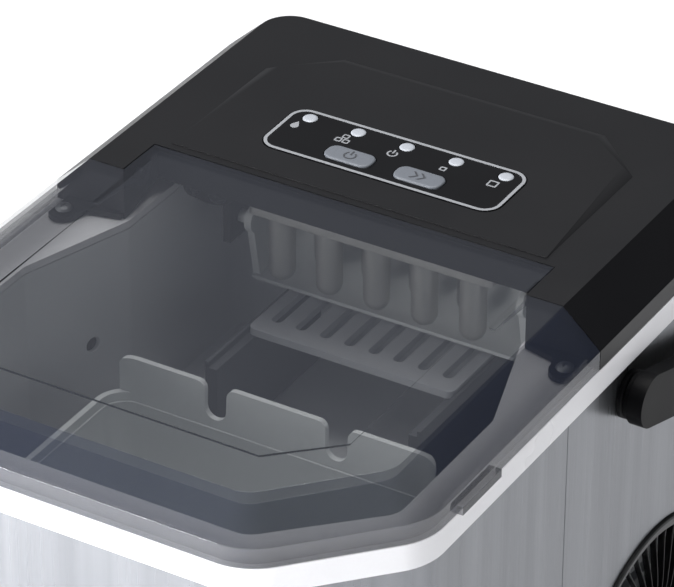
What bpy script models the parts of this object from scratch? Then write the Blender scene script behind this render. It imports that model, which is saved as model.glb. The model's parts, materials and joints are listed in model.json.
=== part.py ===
"""Countertop ice maker: a flip-lid machine with a carrying bail, modelled in metres, +Z up, front towards -Y."""
import math

import bmesh
import bpy
from mathutils import Matrix, Vector
from mathutils.geometry import tessellate_polygon

# Sizes are in millimetres here and become metres in point().

# Outside shape
BODY_WIDTH = 223.0            # over the white rim
FRONT_TO_SEAM = 163.2         # rim front to the line where the lid meets the control cover
SEAM_TO_REAR = 145.8          # that line to the back of the cover
TOP_HEIGHT = 305.0            # ground to the flat top of the cover and lid
FRONT_CUT_X = 42.5            # cut-off front corners, measured across
FRONT_CUT_Y = 46.0            # the same corners, measured front to back
FRONT_ROUND = 24.0            # rounding where a cut corner meets a side
REAR_ROUND = 27.0             # rounded rear corners
SHOULDER_WIDTH = 14.9         # sloped shoulder at the sides and the back
SHOULDER_DROP = 13.5          # how far the shoulder falls
FRONT_SLOPE_WIDTH = 12.0      # the lid's slope at the front
CUT_SLOPE_WIDTH = 12.8        # the lid's slope over the cut corners
RIM_BELOW_TOP = 21.4          # top of the white rim under the flat top
RIM_HEIGHT = 10.1
FACET_SLOPE = 0.018           # tilt of the octagonal facet, rise per length towards the back

# Walls and gaps
GAP = 0.3                     # two pieces that touch
RUN_GAP = 0.4                 # a piece that moves past another
COVER_WALL = 2.6
LID_WALL = 2.6
FRAME_WALL = 3.0
SHEET = 1.0                   # steel panels
PANEL_INSET = 1.6             # steel panels behind the face of the rim
REAR_WALL = 2.2
TUB_WALL = 2.0
BASE_FLOOR = 3.0
BASE_WALL = 2.6
FOOT_HEIGHT = 8.0
BASE_HEIGHT = 22.0            # base tray, from its underside to the lower edge of the panels

# Lid and its hinge
TAB_HALF = 81.9               # half the width of the lid's rear tab, between the cover's two ears
TAB_DEPTH = 20.2              # how far the tab reaches behind the seam
HINGE_BEHIND_SEAM = 9.0
HINGE_BELOW_TOP = 6.0
PIN_RADIUS = 2.0
PIN_LENGTH = 6.0
LID_RIB = 2.4
LID_RIB_RADIUS = 4.6
FACET_HALF = 77.0             # octagonal facet that runs over the lid and the cover
FACET_FRONT = 130.4           # front edge of the facet, in front of the seam
FACET_REAR = 110.0            # rear edge of the facet, behind the seam
FACET_CUT_X = 22.0
FACET_CUT_Y = 21.0
FACET_PAST_TAB = 3.8          # the facet fades out this far behind the lid's tab
FACET_WALL = 5.0              # width of the sloped wall round the facet, at the back
APRON_DEPTH = 15.0            # black wall behind the lid's tab
APRON_SLOPE_START = 3.7       # behind the seam, where its side walls reach the rim
LUG_THICK = 2.4               # flat lugs of the cover under the lid
LIP_TAB_LENGTH = 26.0         # finger tab on the lid's right edge
LIP_TAB_THICK = 3.2
LIP_TAB_REACH = 2.4
LIP_TAB_BEFORE_SEAM = 87.0

# Control panel
PANEL_CENTRE_X = -1.5
PANEL_BEHIND_SEAM = 54.0
LABEL_WIDTH = 98.0
LABEL_DEPTH = 30.5
LABEL_ROUND = 7.0
LABEL_THICK = 0.7
LED_PITCH = 20.4
LED_RADIUS = 2.8
LED_OFFSET = 9.7
BUTTON_WIDTH = 19.4
BUTTON_DEPTH = 9.0
BUTTON_ROUND = 3.6
BUTTON_PITCH = 28.8
BUTTON_OFFSET = -6.6
BUTTON_PROUD = 0.9
BUTTON_STEM = 5.0
BOARD_BELOW = 8.0             # circuit board under the cover's top
BOARD_THICK = 1.6

# Opening and tub
LEDGE_FRONT = 18.0
LEDGE_SIDE = 16.4
NECK_START = 45.8             # the opening narrows from here, in front of the seam
NECK_HALF = 80.5              # half width of the opening under the cover
BAY_BEHIND_EVAP = 29.0        # rear end of the ice-making bay, behind the middle of the evaporator
BAY_DEPTH = 82.0              # floor of the bay under the frame
TUB_DEPTH = 152.0             # floor of the tub under the frame
TUB_REAR = 8.0                # rear wall of the deep tub, in front of the seam
TUB_DRAFT = 2.5

# Ice basket
BASKET_HALF = 71.0
BASKET_FRONT = 134.0
BASKET_REAR = 28.0
BASKET_BELOW_TOP = 57.0
BASKET_HEIGHT = 92.0
BASKET_WALL = 2.2
REST_INSET = 22.0             # ribs under the basket, in from its sides
REST_WIDTH = 4.0
BASKET_NOTCH_WIDTH = 9.0
BASKET_NOTCH_PITCH = 50.0
BASKET_NOTCH_DEPTH = 14.0

# Ice-making parts
EVAP_BEHIND_TAB = 27.8         # middle of the evaporator, behind the lid's tab
EVAP_AXIS_BELOW_TOP = 38.0    # axis that the trough swings about
FINGER_RADIUS = 5.0
FINGER_LENGTH = 28.0
FINGER_PITCH = 20.0
FINGER_ROW = 8.0
EVAP_PLATE_BELOW_TOP = 26.0
EVAP_PLATE_THICK = 7.0
EVAP_HALF = 51.0
BRACKET_THICK = 2.0           # strap over the bay that the evaporator hangs from
BRACKET_HALF = 89.0
BRACKET_WIDTH = 22.0
TROUGH_RADIUS = 24.5
TROUGH_WALL = 1.5
TROUGH_HALF = 58.0
TROUGH_SPAN = 120.0
TROUGH_TILT = 60.0
SHOVEL_HALF = 43.0
SHOVEL_BELOW_TOP = 65.4
SHOVEL_THICK = 3.0
SHOVEL_FRONT = 20.0
SHOVEL_LENGTH = 44.0
SHOVEL_SLOTS = 8
SHOVEL_SLOT_WIDTH = 4.4
SHOVEL_SLOT_LENGTH = 28.0
SHOVEL_SLOT_PITCH = 10.3
RAIL_LIP = 1.6                # guide beside the shovel's edge
SENSOR_FROM_NECK = 15.0        # middle of the ice sensor, in from the opening's side wall
SENSOR_UP = 4.4               # middle of its round lower edge, above the rim

# Side vents and the machine bay
VENT_BEHIND_SEAM = 50.0
VENT_BELOW_TOP = 184.0
VENT_RADIUS = 66.0
VENT_RING = 6.7
VENT_LAP = 1.6                # the vent's flange behind the edge of the panel's hole
VENT_HUB = 17.0
VENT_PROUD = 1.4
VENT_THICK = 3.0
VENT_SLOTS = 18
VENT_BAR = 3.0
PANEL_SEAM = 18.8             # front wrap meets the side panels this far in front of the lid seam
FAN_RADIUS = 50.0
FAN_BLADES = 7
FAN_CLEAR = 2.5               # between the blade tips and the shroud
BLADE_ROOT = (11.0, 4.5)      # radius and half width where a blade leaves the hub
BLADE_TIP_HALF = 15.0
BLADE_SLOPE = 0.45            # keeps each blade a flat plate
BLADE_THICK = 1.6
CONDENSER_SIZE = 112.0
COMPRESSOR_RADIUS = 44.0
COMPRESSOR_HEIGHT = 118.0

# Carrying bail
BAIL_BEHIND_SEAM = 25.0
BAIL_BELOW_TOP = 45.0
BAIL_ARM = 142.0              # pivot to the middle of the grip
BAIL_REST_ANGLE = 17.7        # how far the folded bail points below level, towards the back
BAIL_WIDTH = 20.0
BAIL_THICK = 6.0
BAIL_PAST_RIM = 9.2           # outer face of each arm beyond the rim's side
BOSS_RADIUS = 9.0
PIVOT_PIN = 3.5
PIVOT_SKIN = 1.2              # left of the arm outside the pin
GRIP_HEIGHT = 20.0
GRIP_THICK = 13.0
GRIP_CHAMFER = 3.0
BUMPER_RADIUS = 5.0

ROUND_STEPS = 5               # facets in a rounded corner
ROUND_FACETS = 40             # facets round the vents
SWEEP_STEPS = 40              # facets round the hinge's clearance cuts

# Worked out from the sizes above
HALF_WIDTH = BODY_WIDTH / 2
FACET_START = TAB_DEPTH + FACET_PAST_TAB
BAIL_OUTSIDE = BODY_WIDTH + 2 * BAIL_PAST_RIM
BAIL_GRIP_Y = BAIL_BEHIND_SEAM + BAIL_ARM * math.cos(math.radians(BAIL_REST_ANGLE))
BAIL_GRIP_Z = TOP_HEIGHT - BAIL_BELOW_TOP - BAIL_ARM * math.sin(math.radians(BAIL_REST_ANGLE))
BAIL_REACH = (GRIP_THICK * math.cos(math.radians(BAIL_REST_ANGLE)) / 2
              + (BAIL_WIDTH / 2 - GRIP_CHAMFER) * math.sin(math.radians(BAIL_REST_ANGLE)))
SEAM_Y = (FRONT_TO_SEAM - BAIL_GRIP_Y - BAIL_REACH) / 2
RIM_TOP = TOP_HEIGHT - RIM_BELOW_TOP
RIM_BOTTOM = RIM_TOP - RIM_HEIGHT
BASE_BOTTOM = FOOT_HEIGHT
BASE_TOP = BASE_BOTTOM + BASE_HEIGHT
HINGE_Y = SEAM_Y + HINGE_BEHIND_SEAM
HINGE_Z = TOP_HEIGHT - HINGE_BELOW_TOP
FRONT_Y = SEAM_Y - FRONT_TO_SEAM
REAR_Y = SEAM_Y + SEAM_TO_REAR
FLAT_HALF = HALF_WIDTH - SHOULDER_WIDTH
EVAP_Y = SEAM_Y + TAB_DEPTH + EVAP_BEHIND_TAB
EVAP_AXIS_Z = TOP_HEIGHT - EVAP_AXIS_BELOW_TOP
EVAP_PLATE_BOTTOM = TOP_HEIGHT - EVAP_PLATE_BELOW_TOP
FINGER_BOTTOM = EVAP_PLATE_BOTTOM - FINGER_LENGTH
BRACKET_BOTTOM = EVAP_PLATE_BOTTOM + EVAP_PLATE_THICK + GAP
SHOVEL_TOP = TOP_HEIGHT - SHOVEL_BELOW_TOP
BASKET_TOP = TOP_HEIGHT - BASKET_BELOW_TOP
VENT_HEIGHT = TOP_HEIGHT - VENT_BELOW_TOP


# Basic helpers

def point(x, y, z):
    """A point given in millimetres."""
    return Vector((x, y, z)) * 0.001


def clear_scene():
    for thing in list(bpy.data.objects):
        bpy.data.objects.remove(thing, do_unlink=True)


def make_material(name, colour, roughness, metallic=0.0, alpha=1.0):
    material = bpy.data.materials.new(name)
    material.use_nodes = True
    shader = material.node_tree.nodes["Principled BSDF"]
    shader.inputs["Base Color"].default_value = (*colour, 1.0)
    shader.inputs["Roughness"].default_value = roughness
    shader.inputs["Metallic"].default_value = metallic
    shader.inputs["Alpha"].default_value = alpha
    return material


def finish(name, mesh, material, pivot=(0.0, 0.0, 0.0), smooth=False):
    """Turn a bmesh into a named object whose origin is the pivot, given in millimetres."""
    origin = point(*pivot)
    bmesh.ops.translate(mesh, verts=mesh.verts, vec=-origin)
    bmesh.ops.recalc_face_normals(mesh, faces=mesh.faces)
    data = bpy.data.meshes.new(name)
    mesh.to_mesh(data)
    mesh.free()
    thing = bpy.data.objects.new(name, data)
    thing.location = origin
    if material is not None:
        data.materials.append(material)
    if smooth:
        data.shade_smooth()
        data.set_sharp_from_angle(angle=math.radians(35))
    bpy.context.scene.collection.objects.link(thing)
    return thing


def change(target, tool, operation, solver="EXACT"):
    """Cut, join or keep the overlap of the target with a tool that then hides."""
    step = target.modifiers.new(operation.lower(), "BOOLEAN")
    step.operation = operation
    step.solver = solver
    step.object = tool
    tool.hide_render = True
    tool.display_type = "WIRE"
    return target


def cut(target, tool, solver="EXACT"):
    return change(target, tool, "DIFFERENCE", solver)


def join(target, tool, solver="EXACT"):
    return change(target, tool, "UNION", solver)


def add_box(mesh, low, high):
    corners = [[low[0], low[1]], [high[0], low[1]], [high[0], high[1]], [low[0], high[1]]]
    return add_prism(mesh, corners, low[2], high[2])


def add_prism(mesh, outline, low, high, holes=(), place=None):
    """A straight prism over a flat outline with holes. place maps (u, v, w) in millimetres to a point."""
    place = place or point
    rings = [outline] + list(holes)
    flat = [[Vector((u, v, 0.0)) for u, v in ring] for ring in rings]
    triangles = tessellate_polygon(flat)
    total = [pair for ring in rings for pair in ring]
    bottom = [mesh.verts.new(place(u, v, low)) for u, v in total]
    top = [mesh.verts.new(place(u, v, high)) for u, v in total]
    for a, b, c in triangles:
        mesh.faces.new((top[a], top[b], top[c]))
        mesh.faces.new((bottom[c], bottom[b], bottom[a]))
    start = 0
    for ring in rings:
        for step in range(len(ring)):
            a = start + step
            b = start + (step + 1) % len(ring)
            mesh.faces.new((bottom[a], bottom[b], top[b], top[a]))
        start += len(ring)
    return mesh


def add_loft(mesh, loops, closed=False):
    """Skin a list of loops that have the same number of points, given as metre vectors."""
    rows = [[mesh.verts.new(corner) for corner in loop] for loop in loops]
    count = len(rows[0])
    pairs = list(zip(rows, rows[1:]))
    if closed:
        pairs.append((rows[-1], rows[0]))
    for first, second in pairs:
        for step in range(count):
            after = (step + 1) % count
            mesh.faces.new((first[step], first[after], second[after], second[step]))
    if not closed:
        mesh.faces.new(list(reversed(rows[0])))
        mesh.faces.new(rows[-1])
    return mesh


def add_turned(mesh, profile, centre, axis="Z", steps=24):
    """Turn a profile of (radius, height) pairs about an axis through the centre."""
    def place(radius, height, angle):
        u = radius * math.cos(angle)
        v = radius * math.sin(angle)
        if axis == "X":
            return point(centre[0] + height, centre[1] + u, centre[2] + v)
        if axis == "Y":
            return point(centre[0] + v, centre[1] + height, centre[2] + u)
        return point(centre[0] + u, centre[1] + v, centre[2] + height)

    rows = []
    for radius, height in profile:
        if radius == 0.0:
            rows.append([mesh.verts.new(place(0.0, height, 0.0))])
        else:
            rows.append([mesh.verts.new(place(radius, height, math.tau * step / steps)) for step in range(steps)])
    pairs = list(zip(rows, rows[1:]))
    if len(rows[0]) > 1:
        pairs.append((rows[-1], rows[0]))
    for first, second in pairs:
        for step in range(steps):
            after = (step + 1) % steps
            if len(first) == 1 and len(second) == 1:
                continue
            if len(first) == 1:
                mesh.faces.new((first[0], second[after], second[step]))
            elif len(second) == 1:
                mesh.faces.new((first[step], first[after], second[0]))
            else:
                mesh.faces.new((first[step], first[after], second[after], second[step]))
    return mesh


def circle(centre, radius, steps=24):
    return [(centre[0] + radius * math.cos(math.tau * step / steps),
             centre[1] + radius * math.sin(math.tau * step / steps)) for step in range(steps)]


def rounded(corners, radii, steps=ROUND_STEPS):
    """Round the corners of a convex outline that runs anticlockwise."""
    outline = []
    count = len(corners)
    for index, (corner, radius) in enumerate(zip(corners, radii)):
        here = Vector(corner)
        back = (Vector(corners[index - 1]) - here).normalized()
        ahead = (Vector(corners[(index + 1) % count]) - here).normalized()
        half = back.angle(ahead) / 2
        reach = radius / math.tan(half)
        start = here + back * reach
        end = here + ahead * reach
        middle = here + (back + ahead).normalized() * (radius / math.sin(half))
        first = math.atan2(start.y - middle.y, start.x - middle.x)
        turn = math.atan2(end.y - middle.y, end.x - middle.x) - first
        while turn <= 0.0:
            turn += math.tau
        for step in range(steps + 1):
            angle = first + turn * step / steps
            outline.append((middle.x + radius * math.cos(angle), middle.y + radius * math.sin(angle)))
    return outline


def rounded_box(centre, width, depth, radius, steps=4):
    x, y = centre
    w = width / 2
    d = depth / 2
    corners = [(x - w, y - d), (x + w, y - d), (x + w, y + d), (x - w, y + d)]
    return rounded(corners, [radius] * 4, steps)


def plan_outline(side, front, rear, cut_in, rounding=None):
    """The machine's plan, anticlockwise from the front left, set in from the face of the rim."""
    x = HALF_WIDTH - side
    y_front = FRONT_Y + front
    y_rear = REAR_Y - rear
    length = math.hypot(FRONT_CUT_X, FRONT_CUT_Y)
    normal = (FRONT_CUT_Y / length, -FRONT_CUT_X / length)
    base = (HALF_WIDTH - FRONT_CUT_X - normal[0] * cut_in, FRONT_Y - normal[1] * cut_in)
    along = (FRONT_CUT_X / length, FRONT_CUT_Y / length)
    cut_x = base[0] + along[0] * (y_front - base[1]) / along[1]
    cut_y = base[1] + along[1] * (x - base[0]) / along[0]
    corners = [(-cut_x, y_front), (cut_x, y_front), (x, cut_y), (x, y_rear), (-x, y_rear), (-x, cut_y)]
    front_round = max(FRONT_ROUND - cut_in, 3.0) if rounding is None else rounding
    rear_round = max(REAR_ROUND - side, 3.0)
    radii = [front_round, front_round, front_round, rear_round, rear_round, front_round]
    return rounded(corners, radii)


def even_outline(inset):
    return plan_outline(inset, inset, inset, inset)


def raised(outline, height):
    """Lift an outline to a height, which may be a number or a function of x and y."""
    lift = height if callable(height) else (lambda x, y: height)
    return [point(x, y, lift(x, y)) for x, y in outline]


def facet_height(x, y):
    """The tilted octagonal facet: level with the top at the seam, rising towards the back."""
    return TOP_HEIGHT + (y - SEAM_Y) * FACET_SLOPE


def body_loops(inset, top, bottom):
    """Loops of the shouldered upper body, from its lower edge to its flat top."""
    fold = plan_outline(SHOULDER_WIDTH + inset * 0.4, FRONT_SLOPE_WIDTH + inset * 0.4,
                        SHOULDER_WIDTH + inset * 0.4, CUT_SLOPE_WIDTH + inset * 0.4)
    edge = even_outline(inset)
    break_height = TOP_HEIGHT - SHOULDER_DROP - inset * 0.4
    return [raised(edge, bottom), raised(edge, break_height), raised(fold, top)]


def path_band(outer_inset, inner_inset, keep, start):
    """A thin band that follows the plan at the front or the back, ending on the line y = start."""
    def stretch(inset):
        whole = even_outline(inset)
        x = HALF_WIDTH - inset
        if keep == "front":
            middle = [pair for pair in whole if pair[1] < start]
            left = [pair for pair in middle if pair[0] < 0]
            right = [pair for pair in middle if pair[0] > 0]
            left.sort(key=lambda pair: -pair[1])
            right.sort(key=lambda pair: pair[1])
            return [(-x, start)] + left + right + [(x, start)]
        middle = [pair for pair in whole if pair[1] > start]
        right = [pair for pair in middle if pair[0] > 0]
        left = [pair for pair in middle if pair[0] < 0]
        right.sort(key=lambda pair: pair[1])
        left.sort(key=lambda pair: -pair[1])
        return [(x, start)] + right + left + [(-x, start)]
    return stretch(outer_inset) + list(reversed(stretch(inner_inset)))


def side_place(offset_x):
    """Map an outline drawn in Y and Z on to a plane that faces +X."""
    def place(u, v, w):
        return point(offset_x + w, u, v)
    return place


def hidden_box(name, low, high):
    tool = bmesh.new()
    add_box(tool, low, high)
    return finish(name, tool, None)


def hidden_drum(name, profile, centre, axis, steps=32):
    tool = bmesh.new()
    add_turned(tool, profile, centre, axis, steps)
    return finish(name, tool, None)


def tube(name, corners, radius, material, sides=2):
    """A round tube along a smooth curve through the corners, given in millimetres."""
    line = bpy.data.curves.new(name, "CURVE")
    line.dimensions = "3D"
    line.bevel_depth = radius * 0.001
    line.bevel_resolution = sides
    line.use_fill_caps = True
    places = smooth_path(corners, radius * 5)
    spline = line.splines.new("POLY")
    spline.points.add(len(places) - 1)
    for slot, place in zip(spline.points, places):
        slot.co = (*(place * 0.001), 1.0)
    line.materials.append(material)
    thing = bpy.data.objects.new(name, line)
    bpy.context.scene.collection.objects.link(thing)
    return thing


def smooth_path(corners, spacing):
    """Points along a Catmull-Rom curve through the corners."""
    knots = [Vector(corner) for corner in corners]
    knots = [knots[0] * 2 - knots[1]] + knots + [knots[-1] * 2 - knots[-2]]
    places = [knots[1]]
    for a, b, c, d in zip(knots, knots[1:], knots[2:], knots[3:]):
        steps = max(2, round((c - b).length / spacing))
        for step in range(1, steps + 1):
            t = step / steps
            places.append(0.5 * (2 * b + (c - a) * t + (2 * a - 5 * b + 4 * c - d) * t * t
                                 + (3 * b - a - 3 * c + d) * t ** 3))
    return places


# Casing

def build_base(finishes):
    """Moulded base tray with a raised wall that the panels stand on."""
    mesh = bmesh.new()
    outer = even_outline(PANEL_INSET)
    inner = even_outline(PANEL_INSET + BASE_WALL)
    floor = BASE_BOTTOM + BASE_FLOOR
    add_loft(mesh, [raised(inner, floor), raised(inner, BASE_TOP), raised(outer, BASE_TOP),
                    raised(outer, BASE_BOTTOM)])
    finish("base_tray", mesh, finishes["black_plastic"])
    for side, side_name in ((-1, "left"), (1, "right")):
        for y, end_name in ((FRONT_Y + 44.0, "front"), (REAR_Y - 34.0, "rear")):
            foot = bmesh.new()
            add_turned(foot, [(0, 0), (9, 0), (10, 1.5), (11, FOOT_HEIGHT - GAP), (0, FOOT_HEIGHT - GAP)],
                       (side * (HALF_WIDTH - 36.0), y, 0), "Z", 16)
            finish(f"foot_{end_name}_{side_name}", foot, finishes["rubber"])


def build_panels(finishes):
    """Brushed steel front wrap and side panels, and the moulded rear panel."""
    low = BASE_TOP + GAP
    high = RIM_BOTTOM - GAP
    seam = SEAM_Y - PANEL_SEAM
    wrap = bmesh.new()
    add_prism(wrap, path_band(PANEL_INSET, PANEL_INSET + SHEET, "front", seam - GAP), low, high)
    finish("front_panel", wrap, finishes["steel"])
    rear_start = REAR_Y - REAR_ROUND - 0.5
    centre = (SEAM_Y + VENT_BEHIND_SEAM, VENT_HEIGHT)
    for side, side_name in ((-1, "left"), (1, "right")):
        plate = bmesh.new()
        corners = [(seam, low), (rear_start - GAP, low), (rear_start - GAP, high), (seam, high)]
        hole = circle(centre, VENT_RADIUS - VENT_LAP, ROUND_FACETS)
        x = side * (HALF_WIDTH - PANEL_INSET) - (SHEET if side > 0 else 0.0)
        add_prism(plate, corners, 0.0, SHEET, [hole], side_place(x))
        finish(f"side_panel_{side_name}", plate, finishes["steel"])
    back = bmesh.new()
    add_prism(back, path_band(PANEL_INSET, PANEL_INSET + REAR_WALL, "back", rear_start), low, high)
    rear = finish("rear_panel", back, finishes["black_plastic"])
    slots = bmesh.new()
    for row in range(5):
        for column in (-1, 0, 1):
            x = column * 46.0
            z = VENT_HEIGHT + 30.0 + row * 11.0
            add_box(slots, (x - 19.0, REAR_Y - 12.0, z), (x + 19.0, REAR_Y + 12.0, z + 4.2))
    inlet_x, inlet_z = inlet_centre()
    add_box(slots, (inlet_x - 14.0, REAR_Y - 12.0, inlet_z - 10.5), (inlet_x + 14.0, REAR_Y + 12.0, inlet_z + 10.5))
    drain_x, drain_z = drain_centre()
    add_turned(slots, [(0, -14), (8.0, -14), (8.0, 12), (0, 12)], (drain_x, REAR_Y, drain_z), "Y", 20)
    cut(rear, finish("rear_openings", slots, None))


def inlet_centre():
    return HALF_WIDTH - 52.0, BASE_TOP + 22.0


def drain_centre():
    return -(HALF_WIDTH - 40.0), BASE_TOP + 16.0


def opening_outline(inset):
    """The eight-sided mouth of the ice store, running back under the cover."""
    x = HALF_WIDTH - LEDGE_SIDE - inset
    front = FRONT_Y + LEDGE_FRONT + inset
    cut_x = HALF_WIDTH - FRONT_CUT_X - 10.0 - inset * 0.5
    cut_y = FRONT_Y + FRONT_CUT_Y + 8.0 + inset * 0.5
    neck = NECK_HALF - inset
    start = SEAM_Y - NECK_START
    rear = EVAP_Y + BAY_BEHIND_EVAP - inset
    corners = [(-cut_x, front), (cut_x, front), (x, cut_y), (x, start), (neck, SEAM_Y), (neck, rear),
               (-neck, rear), (-neck, SEAM_Y), (-x, start), (-x, cut_y)]
    return corners


def build_frame(finishes):
    """White top frame: the rim, the ledge under the lid and the deck under the cover."""
    mesh = bmesh.new()
    outer = even_outline(0.0)
    add_prism(mesh, outer, RIM_TOP - FRAME_WALL, RIM_TOP, [opening_outline(0.0)])
    frame = finish("top_frame", mesh, finishes["white_plastic"])
    skirt = bmesh.new()
    add_prism(skirt, outer, RIM_BOTTOM, RIM_TOP - 1.0, [even_outline(3.2)])
    return join(frame, finish("frame_skirt", skirt, None))


def hinge_keep_out(scale_gap):
    """Round shape about the hinge axis that the cover's two ears fill in front of the hinge."""
    half = HALF_WIDTH + 5.0
    top = HINGE_BELOW_TOP
    corner = math.hypot(HINGE_BEHIND_SEAM, top) + scale_gap
    low = HINGE_BEHIND_SEAM + scale_gap
    level = FLAT_HALF + SHOULDER_WIDTH * top / SHOULDER_DROP
    mid_x = (FLAT_HALF + level) / 2
    mid = math.hypot(HINGE_BEHIND_SEAM, top / 2) + scale_gap
    return [(0, TAB_HALF), (corner, TAB_HALF), (corner, FLAT_HALF), (mid, mid_x), (low, level), (low, half), (0, half)]


def build_cover(finishes):
    """Black control cover: shouldered shell with two ears beside the lid's tab and an apron below."""
    shell = bmesh.new()
    add_loft(shell, body_loops(0.0, TOP_HEIGHT, RIM_TOP + GAP))
    cover = finish("control_cover", shell, finishes["black_plastic"])
    hollow = bmesh.new()
    inner = body_loops(COVER_WALL, TOP_HEIGHT - COVER_WALL, RIM_TOP - 5.0)
    add_loft(hollow, inner)
    # EXACT leaves loose edges round the pin holes, so the cover's steps use MANIFOLD
    cut(cover, finish("cover_hollow", hollow, None), "MANIFOLD")
    # Ear walls and the apron behind the lid's tab are added before the front is cut away
    walls = bmesh.new()
    wall = 2.4
    ear_inner = TAB_HALF + RUN_GAP
    low = RIM_TOP + GAP
    reach = math.hypot(TAB_DEPTH - HINGE_BEHIND_SEAM, HINGE_BELOW_TOP) + RUN_GAP
    apron_y = HINGE_Y + reach
    outline = [(ear_inner, SEAM_Y - 2.0), (FLAT_HALF + SHOULDER_WIDTH - COVER_WALL + 0.6, SEAM_Y - 2.0),
               (FLAT_HALF + SHOULDER_WIDTH - COVER_WALL + 0.6, SEAM_Y + wall),
               (ear_inner + wall, SEAM_Y + wall), (ear_inner + wall, apron_y + wall),
               (-ear_inner - wall, apron_y + wall), (-ear_inner - wall, SEAM_Y + wall),
               (-FLAT_HALF - SHOULDER_WIDTH + COVER_WALL - 0.6, SEAM_Y + wall),
               (-FLAT_HALF - SHOULDER_WIDTH + COVER_WALL - 0.6, SEAM_Y - 2.0),
               (-ear_inner, SEAM_Y - 2.0), (-ear_inner, apron_y), (ear_inner, apron_y)]
    add_prism(walls, outline, low, TOP_HEIGHT - 1.6)
    # The wall shape is kept inside the shouldered outside
    wall_piece = finish("cover_walls", walls, None)
    limit = bmesh.new()
    add_loft(limit, body_loops(0.5, TOP_HEIGHT - 0.5, low - 5.0))
    change(wall_piece, finish("cover_limit", limit, None), "INTERSECT")
    join(cover, wall_piece, "MANIFOLD")
    # The apron stops short of the rim, and the ear walls slope down from it, so the bay shows below
    clear = bmesh.new()
    back = apron_y + wall + 1.0
    apron_low = TOP_HEIGHT - APRON_DEPTH
    add_prism(clear, [(SEAM_Y + APRON_SLOPE_START, low), (SEAM_Y + APRON_SLOPE_START, low - 5.0), (back, low - 5.0),
                      (back, apron_low), (apron_y, apron_low)], -ear_inner - wall - 0.1, ear_inner + wall + 0.1, (),
              side_place(0.0))
    cut(cover, finish("apron_clear", clear, None), "MANIFOLD")
    cut(cover, hidden_box("cover_front_cut", (-HALF_WIDTH - 5, FRONT_Y - 20, RIM_TOP - 10),
                          (HALF_WIDTH + 5, SEAM_Y, TOP_HEIGHT + 20)), "MANIFOLD")
    cut(cover, hidden_box("cover_tab_cut", (-ear_inner, SEAM_Y - 5, RIM_TOP - 10),
                          (ear_inner, HINGE_Y + 2.0, TOP_HEIGHT + 20)), "MANIFOLD")
    cut(cover, hidden_drum("cover_tab_sweep", [(0, -ear_inner), (reach, -ear_inner), (reach, ear_inner),
                                               (0, ear_inner)], (0, HINGE_Y, HINGE_Z), "X", SWEEP_STEPS),
        "MANIFOLD")
    hole = PIN_RADIUS + GAP
    cut(cover, hidden_drum("cover_pin_holes", [(0, -ear_inner - wall - 3), (hole, -ear_inner - wall - 3),
                                               (hole, ear_inner + wall + 3), (0, ear_inner + wall + 3)],
                           (0, HINGE_Y, HINGE_Z), "X", 16), "MANIFOLD")
    add_lugs(cover)
    add_facet(cover)
    cut_panel_pocket(cover)
    return cover


def lug_centre(side):
    return side * (HALF_WIDTH - 8.9), SEAM_Y - 9.0


def add_lugs(cover):
    """Flat lugs under the lid's rear corners, each held down by a screw."""
    lugs = bmesh.new()
    low = RIM_TOP + GAP + 0.2
    high = RIM_TOP + GAP + LUG_THICK
    for side in (-1, 1):
        x, y = lug_centre(side)
        inner = side * (FLAT_HALF - 13.6)
        outline = [(inner, SEAM_Y + 1.2), (inner, SEAM_Y - 1.5), (x - side * 7.0, SEAM_Y - 4.6)]
        start, end = (math.pi, 1.75 * math.pi) if side > 0 else (0.0, -0.75 * math.pi)
        for step in range(9):
            angle = start + (end - start) * step / 8
            outline.append((x + 5.6 * math.cos(angle), y + 6.0 * math.sin(angle)))
        outline.append((x + side * 4.0, SEAM_Y + 1.2))
        add_prism(lugs, outline, low, high, [circle((x, y), 1.9, 12)])
    join(cover, finish("cover_lugs", lugs, None), "MANIFOLD")


def facet_outline(inset, keep):
    """The octagonal facet's half on the cover, keep = 1, or on the lid, keep = -1."""
    x = FACET_HALF
    start = SEAM_Y + keep * FACET_START
    end = SEAM_Y + keep * (FACET_REAR if keep > 0 else FACET_FRONT)
    cut_y = end - keep * FACET_CUT_Y
    cut_x = x - FACET_CUT_X
    corners = [(x, start), (x - inset, cut_y + keep * inset * 0.4), (cut_x - inset * 0.4, end - keep * inset),
               (-cut_x + inset * 0.4, end - keep * inset), (-x + inset, cut_y + keep * inset * 0.4), (-x, start)]
    return corners if keep > 0 else list(reversed(corners))


def add_facet(cover):
    step = bmesh.new()
    low = TOP_HEIGHT - 1.2
    outer = facet_outline(0.0, 1)
    add_loft(step, [raised(outer, low), raised(outer, TOP_HEIGHT + 0.05),
                    raised(facet_outline(FACET_WALL, 1), facet_height)])
    return join(cover, finish("cover_facet", step, None), "MANIFOLD")


def panel_place(u, v, w):
    """Map the control panel's own u, v and height above the facet to a point."""
    tilt = Matrix.Rotation(math.atan(FACET_SLOPE), 3, "X")
    middle = Vector((PANEL_CENTRE_X, SEAM_Y + PANEL_BEHIND_SEAM, facet_height(0, SEAM_Y + PANEL_BEHIND_SEAM)))
    return (tilt @ Vector((u, v, w)) + middle) * 0.001


def led_places():
    return [((index - 2) * LED_PITCH, LED_OFFSET) for index in range(5)]


def button_places():
    return [("power_button", (-BUTTON_PITCH / 2, BUTTON_OFFSET)), ("select_button", (BUTTON_PITCH / 2, BUTTON_OFFSET))]


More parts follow.
